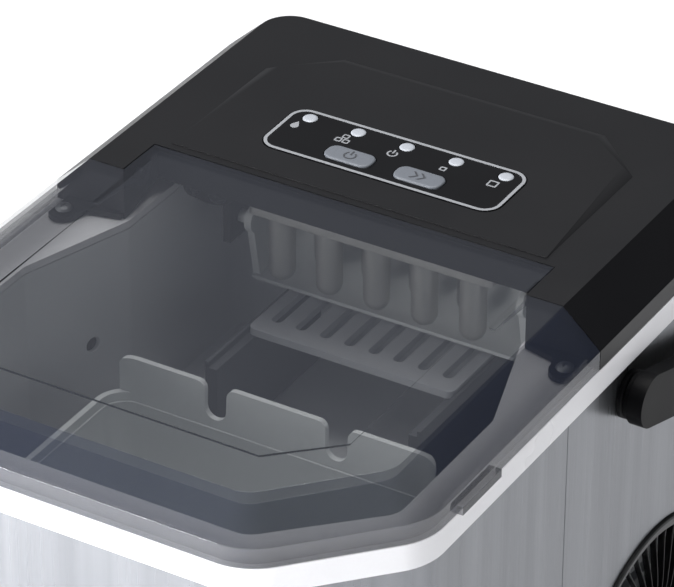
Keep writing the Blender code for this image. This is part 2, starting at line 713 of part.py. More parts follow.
def cut_panel_pocket(cover):
    """Shallow pocket for the label, with holes for the buttons and the lamps."""
    pocket = bmesh.new()
    outline = rounded_box((0, 0), LABEL_WIDTH + 2 * GAP, LABEL_DEPTH + 2 * GAP, LABEL_ROUND + GAP)
    add_prism(pocket, outline, -LABEL_THICK - 0.1, 4.0, (), panel_place)
    cut(cover, finish("panel_pocket", pocket, None), "MANIFOLD")
    holes = bmesh.new()
    for place in led_places():
        add_prism(holes, circle(place, LED_RADIUS + GAP, 12), -9.0, 4.0, (), panel_place)
    for _, place in button_places():
        outline = rounded_box(place, BUTTON_WIDTH + 2 * RUN_GAP, BUTTON_DEPTH + 2 * RUN_GAP, BUTTON_ROUND + RUN_GAP)
        add_prism(holes, outline, -9.0, 4.0, (), panel_place)
    cut(cover, finish("panel_holes", holes, None), "MANIFOLD")


def build_control_panel(finishes):
    """Printed label, lamps, two push buttons and the circuit board under them."""
    label = bmesh.new()
    holes = [circle(place, LED_RADIUS + GAP, 12) for place in led_places()]
    holes += [rounded_box(place, BUTTON_WIDTH + 2 * RUN_GAP, BUTTON_DEPTH + 2 * RUN_GAP, BUTTON_ROUND + RUN_GAP)
              for _, place in button_places()]
    add_prism(label, rounded_box((0, 0), LABEL_WIDTH, LABEL_DEPTH, LABEL_ROUND), -LABEL_THICK + 0.2, 0.2, holes,
              panel_place)
    finish("panel_label", label, finishes["label"])
    board_top = -BOARD_BELOW
    for number, place in enumerate(led_places(), 1):
        lamp = bmesh.new()
        add_prism(lamp, circle(place, LED_RADIUS, 12), board_top + GAP, 0.45, (), panel_place)
        finish(f"lamp_{number}", lamp, finishes["lamp"])
    for name, place in button_places():
        cap = bmesh.new()
        outline = rounded_box(place, BUTTON_WIDTH, BUTTON_DEPTH, BUTTON_ROUND)
        add_prism(cap, outline, BUTTON_PROUD - BUTTON_STEM, BUTTON_PROUD, (), panel_place)
        centre = panel_place(place[0], place[1], BUTTON_PROUD) * 1000
        finish(name, cap, finishes["grey_plastic"], tuple(centre))
    board = bmesh.new()
    add_prism(board, rounded_box((0, 1.0), LABEL_WIDTH - 2, LABEL_DEPTH - 6.0, 1.0, 1), board_top - BOARD_THICK,
              board_top, (), panel_place)
    finish("control_board", board, finishes["board"])


def build_lid(finishes):
    """Smoke-clear lid: shouldered shell with a rear tab, side ribs for the pins and a finger tab."""
    shell = bmesh.new()
    add_loft(shell, body_loops(0.0, TOP_HEIGHT, RIM_TOP + GAP))
    lid = finish("lid", shell, finishes["smoke"], (0, HINGE_Y, HINGE_Z))
    hollow = bmesh.new()
    # The ceiling runs parallel to the sunken facet, so the plastic under the facet keeps its thickness
    add_loft(hollow, body_loops(LID_WALL, lambda x, y: facet_height(x, y) - LID_WALL, RIM_TOP - 5.0))
    cut(lid, finish("lid_hollow", hollow, None))
    sink = bmesh.new()
    add_loft(sink, [raised(facet_outline(FACET_WALL * 0.3, -1), facet_height),
                    raised(facet_outline(0.0, -1), TOP_HEIGHT + 0.05), raised(facet_outline(0.0, -1), TOP_HEIGHT + 6.0)])
    cut(lid, finish("lid_facet_sink", sink, None))
    behind = SEAM_Y + TAB_DEPTH
    far = REAR_Y + 40.0
    top = TOP_HEIGHT + 20.0
    low = RIM_TOP - 20.0
    half = HALF_WIDTH + 10.0
    cut(lid, hidden_box("lid_rear_cut", (-half, behind, low), (half, far, top)))
    for side in (-1, 1):
        near, out = sorted((side * TAB_HALF, side * half))
        cut(lid, hidden_box(f"lid_side_cut_{side}", (near, SEAM_Y - RUN_GAP, low), (out, far, top)))
        profile = [(radius, side * x) for radius, x in hinge_keep_out(RUN_GAP)]
        cut(lid, hidden_drum(f"lid_ear_cut_{side}", profile, (0, HINGE_Y, HINGE_Z), "X", SWEEP_STEPS))
    ribs = bmesh.new()
    for side in (-1, 1):
        x_out = side * (TAB_HALF - 0.2)
        x_in = side * (TAB_HALF - 0.2 - LID_RIB)
        low_x, high_x = sorted((x_out, x_in))
        outline = [(HINGE_Y + LID_RIB_RADIUS * math.cos(angle), HINGE_Z + LID_RIB_RADIUS * math.sin(angle))
                   for angle in [math.pi + math.pi * step / 10 for step in range(11)]]
        outline += [(HINGE_Y + LID_RIB_RADIUS, TOP_HEIGHT - 1.2), (HINGE_Y - 30.0, TOP_HEIGHT - 1.2),
                    (HINGE_Y - 30.0, TOP_HEIGHT - LID_WALL - 1.0)]
        hole = circle((HINGE_Y, HINGE_Z), PIN_RADIUS + GAP, 16)
        add_prism(ribs, outline, low_x, high_x, [hole], side_place(0.0))
    join(lid, finish("lid_ribs", ribs, None))
    tab = bmesh.new()
    y = SEAM_Y - LIP_TAB_BEFORE_SEAM
    add_box(tab, (HALF_WIDTH - 2.0, y - LIP_TAB_LENGTH / 2, RIM_TOP + GAP + 0.2),
            (HALF_WIDTH + LIP_TAB_REACH, y + LIP_TAB_LENGTH / 2, RIM_TOP + GAP + 0.2 + LIP_TAB_THICK))
    join(lid, finish("lid_finger_tab", tab, None))
    for side, side_name in ((-1, "left"), (1, "right")):
        pin = bmesh.new()
        start = side * (TAB_HALF - LID_RIB + 0.4)
        end = start + side * PIN_LENGTH
        first, last = sorted((start, end))
        add_turned(pin, [(0, first), (PIN_RADIUS, first), (PIN_RADIUS, last), (0, last)], (0, HINGE_Y, HINGE_Z), "X", 16)
        finish(f"hinge_pin_{side_name}", pin, finishes["metal"], (0, HINGE_Y, HINGE_Z))
        screw = bmesh.new()
        x, y = lug_centre(side)
        base = RIM_TOP + GAP + LUG_THICK + GAP
        add_turned(screw, [(0, -2.6), (1.5, -2.6), (1.5, 0), (3.2, 0), (3.0, 1.4), (0, 1.8)], (x, y, base), "Z", 12)
        finish(f"cover_screw_{side_name}", screw, finishes["metal"])


# Ice store

def build_tub(finishes):
    """White tub: a deep store at the front and a shallow ice-making bay behind it, under one flange."""
    top = RIM_TOP - FRAME_WALL - GAP
    mouth = opening_outline(-TUB_WALL)
    shell = bmesh.new()
    add_prism(shell, mouth, top - BAY_DEPTH, top)
    tub = finish("ice_tub", shell, finishes["white_plastic"])
    deep = bmesh.new()
    add_loft(deep, [raised(deep_outline(-TUB_WALL, TUB_DRAFT), top - TUB_DEPTH),
                    raised(deep_outline(-TUB_WALL, 0.0), top - 20.0)])
    join(tub, finish("tub_deep", deep, None))
    bay = bmesh.new()
    add_prism(bay, opening_outline(0.0), top - BAY_DEPTH + TUB_WALL, top + 5.0)
    cut(tub, finish("tub_bay_space", bay, None))
    store = bmesh.new()
    add_loft(store, [raised(deep_outline(0.0, TUB_DRAFT), top - TUB_DEPTH + TUB_WALL),
                     raised(deep_outline(0.0, 0.0), top - 18.0)])
    cut(tub, finish("tub_store_space", store, None))
    # Two ribs on the floor of the store carry the basket above the melt water
    rests = bmesh.new()
    for side in (-1, 1):
        x = side * (BASKET_HALF - REST_INSET)
        add_box(rests, (x - REST_WIDTH / 2, SEAM_Y - BASKET_FRONT + REST_INSET, top - TUB_DEPTH + TUB_WALL / 2),
                (x + REST_WIDTH / 2, SEAM_Y - BASKET_REAR - REST_INSET, BASKET_TOP - BASKET_HEIGHT - GAP))
    return join(tub, finish("tub_rests", rests, None))


def deep_outline(inset, draft):
    x = HALF_WIDTH - LEDGE_SIDE - inset - draft
    front = FRONT_Y + LEDGE_FRONT + inset + draft
    cut_x = HALF_WIDTH - FRONT_CUT_X - 10.0 - inset * 0.5 - draft * 0.5
    cut_y = FRONT_Y + FRONT_CUT_Y + 8.0 + inset * 0.5 + draft * 0.5
    rear = SEAM_Y - TUB_REAR - inset - draft
    neck = NECK_HALF - inset - draft
    start = SEAM_Y - NECK_START
    step = (x - neck) * (rear - start) / NECK_START
    return [(-cut_x, front), (cut_x, front), (x, cut_y), (x, start), (x - step, rear), (-x + step, rear),
            (-x, start), (-x, cut_y)]


def build_basket(finishes):
    """Lift-out ice basket with a notched rear wall and a slotted floor."""
    front = SEAM_Y - BASKET_FRONT
    rear = SEAM_Y - BASKET_REAR
    centre = (0.0, (front + rear) / 2)
    depth = rear - front
    low = BASKET_TOP - BASKET_HEIGHT
    taper = 5.0
    shell = bmesh.new()
    add_loft(shell, [raised(rounded_box(centre, 2 * BASKET_HALF - 2 * taper, depth - 2 * taper, 10.0), low),
                     raised(rounded_box(centre, 2 * BASKET_HALF, depth, 12.0), BASKET_TOP)])
    basket = finish("ice_basket", shell, finishes["white_plastic"])
    inner = bmesh.new()
    wall = BASKET_WALL
    add_loft(inner, [raised(rounded_box(centre, 2 * (BASKET_HALF - taper - wall), depth - 2 * (taper + wall), 8.0),
                            low + wall),
                     raised(rounded_box(centre, 2 * (BASKET_HALF - wall), depth - 2 * wall, 10.0), BASKET_TOP + 0.5)])
    cut(basket, finish("basket_space", inner, None))
    cuts = bmesh.new()
    half_notch = BASKET_NOTCH_WIDTH / 2
    for side in (-1, 1):
        x = side * BASKET_NOTCH_PITCH / 2
        add_box(cuts, (x - half_notch, rear - 9.0, BASKET_TOP - BASKET_NOTCH_DEPTH), (x + half_notch, rear + 3.0,
                                                                                      BASKET_TOP + 5.0))
    # Only the rear wall keeps its full height, as three tabs
    add_box(cuts, (-BASKET_HALF - 5.0, front - 5.0, BASKET_TOP - BASKET_NOTCH_DEPTH),
            (BASKET_HALF + 5.0, rear - BASKET_WALL - 1.2, BASKET_TOP + 5.0))
    for column in range(-3, 4):
        add_box(cuts, (column * 16.0 - 2.0, front + 24.0, low - 5.0), (column * 16.0 + 2.0, rear - 24.0, low + 5.0))
    cut(basket, finish("basket_cuts", cuts, None))


# Ice making

def build_evaporator(finishes):
    """Cold plate with two rows of fingers that the ice forms on."""
    plate = bmesh.new()
    y = EVAP_Y
    add_box(plate, (-EVAP_HALF, y - 15.0, EVAP_PLATE_BOTTOM), (EVAP_HALF, y + 15.0,
                                                             EVAP_PLATE_BOTTOM + EVAP_PLATE_THICK))
    body = finish("evaporator", plate, finishes["nickel"])
    fingers = bmesh.new()
    length = EVAP_PLATE_BOTTOM + 2.0 - FINGER_BOTTOM
    r = FINGER_RADIUS
    profile = [(0, 0), (r * 0.7, r * 0.25), (r, r), (r, length), (0, length)]
    for row, count in ((-1, 5), (1, 4)):
        for index in range(count):
            x = (index - (count - 1) / 2) * FINGER_PITCH
            add_turned(fingers, profile, (x, y + row * FINGER_ROW, FINGER_BOTTOM), "Z", 10)
    join(body, finish("evaporator_fingers", fingers, None))
    strap = bmesh.new()
    foot = RIM_TOP + GAP
    end = BRACKET_HALF
    step = BRACKET_HALF - BRACKET_THICK
    high = BRACKET_BOTTOM + BRACKET_THICK
    outline = [(-end, foot), (-step, foot), (-step, BRACKET_BOTTOM), (step, BRACKET_BOTTOM), (step, foot), (end, foot),
               (end, high), (-end, high)]
    add_prism(strap, outline, y - BRACKET_WIDTH / 2, y + BRACKET_WIDTH / 2, (), lambda u, v, w: point(u, w, v))
    finish("evaporator_bracket", strap, finishes["metal"])


def build_tray(finishes):
    """Water trough that swings about the evaporator, with a geared motor at its right end."""
    arc = []
    start = math.radians(-90.0)
    span = math.radians(TROUGH_SPAN)
    inner = TROUGH_RADIUS
    outer = inner + TROUGH_WALL
    steps = 12
    for step in range(steps + 1):
        angle = start + span * step / steps
        arc.append((EVAP_Y + outer * math.cos(angle), EVAP_AXIS_Z + outer * math.sin(angle)))
    for step in range(steps, -1, -1):
        angle = start + span * step / steps
        arc.append((EVAP_Y + inner * math.cos(angle), EVAP_AXIS_Z + inner * math.sin(angle)))
    shell = bmesh.new()
    add_prism(shell, arc, -TROUGH_HALF, TROUGH_HALF, (), side_place(0.0))
    tray = finish("water_trough", shell, finishes["white_plastic"], (0, EVAP_Y, EVAP_AXIS_Z))
    ends = bmesh.new()
    for side in (-1, 1):
        x = side * (TROUGH_HALF - 1.0)
        low_x, high_x = sorted((x - side * 1.5, x + side * 1.5))
        blade = [(EVAP_Y + 5.0 * math.cos(angle), EVAP_AXIS_Z + 5.0 * math.sin(angle))
                 for angle in [math.radians(60 + 180 * step / 8) for step in range(9)]]
        rim = [(EVAP_Y + (outer - 0.4) * math.cos(angle), EVAP_AXIS_Z + (outer - 0.4) * math.sin(angle))
               for angle in [start + span * step / steps for step in range(1, steps)]]
        add_prism(ends, blade + rim, low_x, high_x, (), side_place(0.0))
    join(tray, finish("trough_ends", ends, None))
    stubs = bmesh.new()
    for side in (-1, 1):
        first, last = sorted((side * (TROUGH_HALF - 0.5), side * (TROUGH_HALF + 8.0)))
        add_turned(stubs, [(0, first), (2.5, first), (2.5, last), (0, last)], (0, EVAP_Y, EVAP_AXIS_Z), "X", 12)
    join(tray, finish("trough_stubs", stubs, None), "MANIFOLD")
    motor = bmesh.new()
    near = TROUGH_HALF + 8.0 + GAP + 0.3
    add_box(motor, (near, EVAP_Y - 10, EVAP_AXIS_Z - 13), (near + 11.5, EVAP_Y + 10, BRACKET_BOTTOM - GAP))
    finish("trough_motor", motor, finishes["metal"])
    bearing = bmesh.new()
    hole = circle((EVAP_Y, EVAP_AXIS_Z), 2.5 + GAP, 16)
    corners = [(EVAP_Y - 8, EVAP_AXIS_Z - 8), (EVAP_Y + 8, EVAP_AXIS_Z - 8), (EVAP_Y + 8, BRACKET_BOTTOM - GAP),
               (EVAP_Y - 8, BRACKET_BOTTOM - GAP)]
    add_prism(bearing, corners, -TROUGH_HALF - 7.5, -TROUGH_HALF - 4.5, [hole], side_place(0.0))
    finish("trough_bearing", bearing, finishes["black_plastic"])


def build_shovel(finishes):
    """Slotted plate that pushes the fallen ice forward into the basket."""
    plate = bmesh.new()
    front = SEAM_Y + SHOVEL_FRONT
    low = SHOVEL_TOP - SHOVEL_THICK
    slots = []
    for index in range(SHOVEL_SLOTS):
        x = (index - (SHOVEL_SLOTS - 1) / 2) * SHOVEL_SLOT_PITCH
        slots.append(rounded_box((x, front + 8.0 + SHOVEL_SLOT_LENGTH / 2), SHOVEL_SLOT_WIDTH, SHOVEL_SLOT_LENGTH,
                                 SHOVEL_SLOT_WIDTH / 2 - 0.05, 2))
    outline = rounded_box((0, front + SHOVEL_LENGTH / 2), 2 * SHOVEL_HALF, SHOVEL_LENGTH, 3.0, 2)
    add_prism(plate, outline, low, SHOVEL_TOP, slots)
    finish("ice_shovel", plate, finishes["grey_plastic"])
    for side, side_name in ((-1, "left"), (1, "right")):
        rail = bmesh.new()
        x = side * (SHOVEL_HALF + RUN_GAP)
        far = side * (SHOVEL_HALF + RUN_GAP + RAIL_LIP)
        lip_top = SHOVEL_TOP - SHOVEL_THICK / 3
        under = side * (SHOVEL_HALF - 3.0)
        floor = RIM_TOP - FRAME_WALL - GAP - BAY_DEPTH + TUB_WALL + GAP
        corners = [(under, floor), (far, floor), (far, lip_top), (x, lip_top), (x, low - RUN_GAP),
                   (under, low - RUN_GAP)]
        add_prism(rail, corners, SEAM_Y - 6.0, SEAM_Y + 68.0, (), lambda u, v, w: point(u, w, v))
        finish(f"shovel_rail_{side_name}", rail, finishes["white_plastic"])


def build_sensor(finishes):
    """Optical ice-level sensor that looks down into the store from under the apron."""
    body = bmesh.new()
    x = -(NECK_HALF - SENSOR_FROM_NECK)
    top = RIM_TOP + SENSOR_UP
    reach = math.hypot(TAB_DEPTH - HINGE_BEHIND_SEAM, HINGE_BELOW_TOP) + RUN_GAP
    y = HINGE_Y + reach + 2.4 + GAP
    half = [(x + 12.0 * math.cos(angle), top + 7.5 * math.sin(angle))
            for angle in [math.pi + math.pi * step / 10 for step in range(11)]]
    add_prism(body, half + [(x + 12.0, top + 3.0), (x - 12.0, top + 3.0)], y, y + 9.0, (),
              lambda u, v, w: point(u, w, v))
    finish("ice_sensor", body, finishes["black_plastic"])


# Cooling machinery

def vent_slot(index, count, inner, outer, bar):
    """One curved slot of the vent, narrowing towards the hub."""
    turn = math.tau / count
    sweep = math.radians(26)
    start = index * turn
    edge = []
    steps = 3
    for step in range(steps + 1):
        share = step / steps
        radius = inner + (outer - inner) * share
        edge.append((radius, start + sweep * share * share, bar / 2 / radius))
    first = [(r * math.cos(a + h), r * math.sin(a + h)) for r, a, h in edge]
    second = [(r * math.cos(a + turn - h), r * math.sin(a + turn - h)) for r, a, h in reversed(edge)]
    return first + second


def build_vents(finishes):
    """Round side vents: a dark ring with curved blades running in to a hub."""
    centre = (SEAM_Y + VENT_BEHIND_SEAM, VENT_HEIGHT)
    for side, side_name in ((-1, "left"), (1, "right")):
        slots = []
        for index in range(VENT_SLOTS):
            outline = vent_slot(index, VENT_SLOTS, VENT_HUB, VENT_RADIUS - VENT_RING - 1.0, VENT_BAR)
            slots.append([(centre[0] - side * u, centre[1] + v) for u, v in outline])
        disc = bmesh.new()
        face = side * (HALF_WIDTH - PANEL_INSET)
        low = face - side * (SHEET + GAP + VENT_THICK)
        first, last = sorted((low, face - side * (SHEET + GAP)))
        add_prism(disc, circle(centre, VENT_RADIUS, ROUND_FACETS), first, last, slots, side_place(0.0))
        vent = finish(f"vent_{side_name}", disc, finishes["vent_plastic"])
        ring = bmesh.new()
        first, last = sorted((face - side * (SHEET + GAP + 1.0), face + side * VENT_PROUD))
        add_prism(ring, circle(centre, VENT_RADIUS - VENT_LAP - GAP, ROUND_FACETS), first, last,
                  [circle(centre, VENT_RADIUS - VENT_RING, ROUND_FACETS)], side_place(0.0))
        join(vent, finish(f"vent_ring_{side_name}", ring, None))


def build_fan(finishes):
    """Condenser, shroud, motor and fan that draw air across the machine."""
    y = SEAM_Y + VENT_BEHIND_SEAM
    z = VENT_HEIGHT
    inner_face = HALF_WIDTH - PANEL_INSET - SHEET - GAP - VENT_THICK
    block_x = inner_face - 24.0
    half = CONDENSER_SIZE / 2
    core = bmesh.new()
    add_box(core, (block_x, y - half, z - half), (block_x + 20.0, y + half, z + half))
    condenser = finish("condenser", core, finishes["aluminium"])
    grooves = bmesh.new()
    for index in range(11):
        place = z - half + 8.0 + index * (CONDENSER_SIZE - 16.0) / 10
        add_box(grooves, (block_x + 14.0, y - half - 5, place - 2.6), (block_x + 25.0, y + half + 5, place + 2.6))
    cut(condenser, finish("condenser_grooves", grooves, None))
    shroud_x = block_x - GAP - 26.0
    plate = bmesh.new()
    floor = BASE_BOTTOM + BASE_FLOOR + GAP
    corners = [(y - half, floor), (y + half, floor), (y + half, z + half), (y - half, z + half)]
    add_prism(plate, corners, shroud_x, shroud_x + 26.0, [circle((y, z), FAN_RADIUS + FAN_CLEAR, 40)], side_place(0.0))
    finish("fan_shroud", plate, finishes["black_plastic"])
    hub_x = shroud_x + 13.0
    fan = bmesh.new()
    add_turned(fan, [(0, -8.0), (13.0, -8.0), (14.0, 4.0), (10.0, 8.0), (0, 8.0)], (hub_x, y, z), "X", 20)
    rotor = finish("fan_blade", fan, finishes["white_plastic"], (hub_x, y, z))
    blades = bmesh.new()
    tip = (math.sqrt(FAN_RADIUS ** 2 - BLADE_TIP_HALF ** 2), BLADE_TIP_HALF)
    for index in range(FAN_BLADES):
        turn = math.tau * index / FAN_BLADES
        loops = []
        for radius, half in (BLADE_ROOT, tip):
            corners = []
            for aside, thick in ((-half, 0.0), (half, 0.0), (half, BLADE_THICK), (-half, BLADE_THICK)):
                corners.append(point(hub_x + aside * BLADE_SLOPE - thick,
                                     y + radius * math.cos(turn) - aside * math.sin(turn),
                                     z + radius * math.sin(turn) + aside * math.cos(turn)))
            loops.append(corners)
        add_loft(blades, loops)
    join(rotor, finish("fan_blades", blades, None), "MANIFOLD")
    motor = bmesh.new()
    add_turned(motor, [(0, -44.0), (20.0, -44.0), (20.0, -16.0), (3.0, -16.0), (3.0, -9.0), (0, -9.0)],
               (hub_x, y, z), "X", 20)
    finish("fan_motor", motor, finishes["metal"])
    bracket = bmesh.new()
    hole = circle((y, z), 20.0 + GAP, 24)
    corners = [(y - 8, floor), (y + 8, floor), (y + 26, z + 4),
               (y + 20, z + 24), (y - 20, z + 24), (y - 26, z + 4)]
    add_prism(bracket, corners, hub_x - 34.0, hub_x - 30.0, [hole], side_place(0.0))
    finish("fan_bracket", bracket, finishes["metal"])


def build_compressor(finishes):
    """Hermetic compressor on a base plate, with its drier and the pipe to the evaporator."""
    centre = (-(HALF_WIDTH - 60.0), REAR_Y - 62.0, BASE_BOTTOM + BASE_FLOOR + GAP)
    r = COMPRESSOR_RADIUS
    h = COMPRESSOR_HEIGHT
    can = bmesh.new()
    add_turned(can, [(0, 0), (r + 4, 0), (r + 4, 3.0), (r * 0.86, 8.0), (r, 20.0), (r, h * 0.48), (r + 1.6, h * 0.48),
                     (r + 1.6, h * 0.53), (r, h * 0.53), (r, h - 22.0), (r * 0.8, h - 7.0), (r * 0.4, h), (0, h)],
               centre, "Z", 24)
    finish("compressor", can, finishes["black_metal"])
    x, y, z = centre
    drier = bmesh.new()
    add_turned(drier, [(0, 0), (2.5, 0), (7.0, 6.0), (7.0, 46.0), (2.5, 52.0), (0, 52.0)], (x + r + 18, y + 28, z + 22),
               "Z", 12)
    finish("filter_drier", drier, finishes["copper"])
    top = z + h
    line = [(x + 8, y - 4, top + 1.2), (x + 10, y - 6, top + 22), (x + 8, EVAP_Y + 38, top + 58),
            (x + 14, EVAP_Y + 36, RIM_TOP - FRAME_WALL - 26), (x + 16, EVAP_Y + 34, RIM_TOP - FRAME_WALL - 8)]
    tube("suction_pipe", line, 2.6, finishes["copper"])


def build_water(finishes):
    """Pump under the tub, its hose to the trough, and the drain spout with its plug."""
    top = RIM_TOP - FRAME_WALL - GAP
    floor = top - TUB_DEPTH
    base = BASE_BOTTOM + BASE_FLOOR + GAP
    pump_x, pump_y = HALF_WIDTH - 66.0, SEAM_Y - 92.0
    pump = bmesh.new()
    add_turned(pump, [(0, 0), (19.0, 0), (19.0, 30.0), (16.0, 34.0), (16.0, 46.0), (5.0, 46.0), (5.0, 60.0), (0, 60.0)],
               (pump_x, pump_y, base), "Z", 20)
    finish("water_pump", pump, finishes["black_plastic"])
    side_x = HALF_WIDTH - 7.6
    line = [(pump_x + 19.6, pump_y, base + 14), (side_x - 14, pump_y + 4, base + 20), (side_x - 1.5, pump_y + 16, base + 60),
            (side_x - 1.5, SEAM_Y - 40, floor + 50), (side_x - 3.0, SEAM_Y - 12, top - 50), (side_x - 12, SEAM_Y + 18, top - 26)]
    tube("pump_hose", line, 2.4, finishes["hose"])
    x, z = drain_centre()
    spout = bmesh.new()
    add_turned(spout, [(3.4, -12.0), (5.4, -12.0), (5.4, -7.0), (7.6, -7.0), (7.6, 2.4), (3.4, 2.4)], (x, REAR_Y, z), "Y", 20)
    finish("drain_spout", spout, finishes["white_plastic"])
    plug = bmesh.new()
    add_turned(plug, [(0, -12.0), (3.0, -12.0), (3.0, 2.4 + GAP), (8.0, 2.4 + GAP), (8.0, 7.0), (6.5, 8.0), (0, 8.0)],
               (x, REAR_Y, z), "Y", 20)
    finish("drain_plug", plug, finishes["rubber"], (x, REAR_Y, z))
    board = bmesh.new()
    add_box(board, (-(HALF_WIDTH - 40), SEAM_Y - 130, base), (-(HALF_WIDTH - 42), SEAM_Y - 60, base + 54))
    finish("power_board", board, finishes["board"])
    x, z = inlet_centre()
    inlet = bmesh.new()
    y = REAR_Y - PANEL_INSET
    add_box(inlet, (x - 13.4, y - 22.0, z - 9.9), (x + 13.4, y + 0.8, z + 9.9))
    socket = finish("mains_inlet", inlet, finishes["black_plastic"])
    well = bmesh.new()
    add_box(well, (x - 10.5, y - 15.0, z - 7.0), (x + 10.5, y + 5.0, z + 7.0))
    cut(socket, finish("inlet_well", well, None))
    return socket


# Carrying bail

def build_bail(finishes):
    """U-shaped bail: an arm at each side on a round boss, and a grip that folds down behind the machine."""
    pivot_y = SEAM_Y + BAIL_BEHIND_SEAM
    pivot_z = TOP_HEIGHT - BAIL_BELOW_TOP
    angle = math.radians(-BAIL_REST_ANGLE)
    along = (math.cos(angle), math.sin(angle))
    across = (-along[1], along[0])

    def arm_point(distance, offset):
        return (pivot_y + along[0] * distance + across[0] * offset, pivot_z + along[1] * distance + across[1] * offset)

    half = BAIL_WIDTH / 2
    tip = BAIL_ARM + GRIP_THICK / 2
    outline = [arm_point(half * math.cos(turn), half * math.sin(turn))
               for turn in [math.pi / 2 + math.pi * step / 12 for step in range(13)]]
    outline += [arm_point(tip - 5.0, -half), arm_point(tip, -half + 5.0), arm_point(tip, half - 5.0),
                arm_point(tip - 5.0, half)]
    outside = BAIL_OUTSIDE / 2
    bail = None
    for side in (-1, 1):
        arm = bmesh.new()
        first, last = sorted((side * (outside - BAIL_THICK), side * outside))
        add_prism(arm, outline, first, last, (), side_place(0.0))
        if bail is None:
            bail = finish("carry_bail", arm, finishes["black_plastic"], (0, pivot_y, pivot_z))
        else:
            join(bail, finish("bail_far_arm", arm, None))
    grip = bmesh.new()
    near = BAIL_ARM - GRIP_THICK / 2
    far = BAIL_ARM + GRIP_THICK / 2
    bevel = GRIP_CHAMFER
    corners = [arm_point(near + bevel, -half), arm_point(far - bevel, -half), arm_point(far, -half + bevel),
               arm_point(far, half - bevel), arm_point(far - bevel, half), arm_point(near + bevel, half),
               arm_point(near, half - bevel), arm_point(near, -half + bevel)]
    add_prism(grip, corners, -outside + 1.0, outside - 1.0, (), side_place(0.0))
    join(bail, finish("bail_grip", grip, None))
    face = HALF_WIDTH - PANEL_INSET + GAP
    inner_arm = outside - BAIL_THICK
    # Blind holes for the bosses' pins leave the arms' outer faces whole
    for side in (-1, 1):
        drill = [(0, inner_arm - 1.0), (PIVOT_PIN + GAP, inner_arm - 1.0), (PIVOT_PIN + GAP, outside - PIVOT_SKIN),
                 (0, outside - PIVOT_SKIN)]
        cut(bail, hidden_drum(f"pivot_hole_{side}", [(radius, side * x) for radius, x in drill],
                              (0, pivot_y, pivot_z), "X", 16))
    for side, side_name in ((-1, "left"), (1, "right")):
        boss = bmesh.new()
        profile = [(0, face), (BOSS_RADIUS, face), (BOSS_RADIUS, inner_arm - GAP),
                   (PIVOT_PIN, inner_arm - GAP), (PIVOT_PIN, outside - PIVOT_SKIN - GAP),
                   (0, outside - PIVOT_SKIN - GAP)]
        add_turned(boss, [(radius, side * x) for radius, x in profile], (0, pivot_y, pivot_z), "X", 24)
        finish(f"bail_boss_{side_name}", boss, finishes["black_plastic"])
        bumper = bmesh.new()
        x = side * (HALF_WIDTH - 46.0)
        reach = BAIL_GRIP_Y + SEAM_Y - BAIL_REACH - GAP - REAR_Y + PANEL_INSET - GAP
        add_turned(bumper, [(0, 0), (BUMPER_RADIUS, 0), (BUMPER_RADIUS, reach - 1), (BUMPER_RADIUS - 1, reach), (0, reach)],
                   (x, REAR_Y - PANEL_INSET + GAP, BAIL_GRIP_Z), "Y", 12)
        finish(f"bail_bumper_{side_name}", bumper, finishes["rubber"])


def main():
    clear_scene()
    finishes = {
        "black_plastic": make_material("black_plastic", (0.028, 0.028, 0.031), 0.42),
        "white_plastic": make_material("white_plastic", (0.82, 0.83, 0.85), 0.35),
        "grey_plastic": make_material("grey_plastic", (0.42, 0.43, 0.46), 0.45),
        "vent_plastic": make_material("vent_plastic", (0.02, 0.022, 0.024), 0.5),
        "smoke": make_material("smoke", (0.16, 0.17, 0.19), 0.08, 0.0, 0.45),
        "steel": make_material("steel", (0.60, 0.61, 0.63), 0.3, 1.0),
        "metal": make_material("metal", (0.55, 0.56, 0.57), 0.35, 1.0),
        "black_metal": make_material("black_metal", (0.02, 0.02, 0.02), 0.4, 0.5),
        "nickel": make_material("nickel", (0.66, 0.64, 0.60), 0.25, 1.0),
        "aluminium": make_material("aluminium", (0.75, 0.76, 0.77), 0.4, 1.0),
        "copper": make_material("copper", (0.72, 0.36, 0.22), 0.3, 1.0),
        "rubber": make_material("rubber", (0.02, 0.02, 0.02), 0.8),
        "label": make_material("label", (0.04, 0.042, 0.045), 0.3),
        "lamp": make_material("lamp", (0.55, 0.57, 0.62), 0.3),
        "board": make_material("board", (0.04, 0.20, 0.09), 0.5),
        "hose": make_material("hose", (0.75, 0.76, 0.76), 0.3),
    }
    build_base(finishes)
    build_panels(finishes)
    build_frame(finishes)
    build_cover(finishes)
    build_control_panel(finishes)
    build_lid(finishes)
    build_tub(finishes)
    build_basket(finishes)
    build_evaporator(finishes)
    build_tray(finishes)
    build_shovel(finishes)
    build_sensor(finishes)
    build_vents(finishes)
    build_fan(finishes)
    build_compressor(finishes)
    build_water(finishes)
    build_bail(finishes)


main()
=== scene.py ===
import json
import math

import bmesh
import bpy
from mathutils import Matrix, Vector
from mathutils.geometry import tessellate_polygon


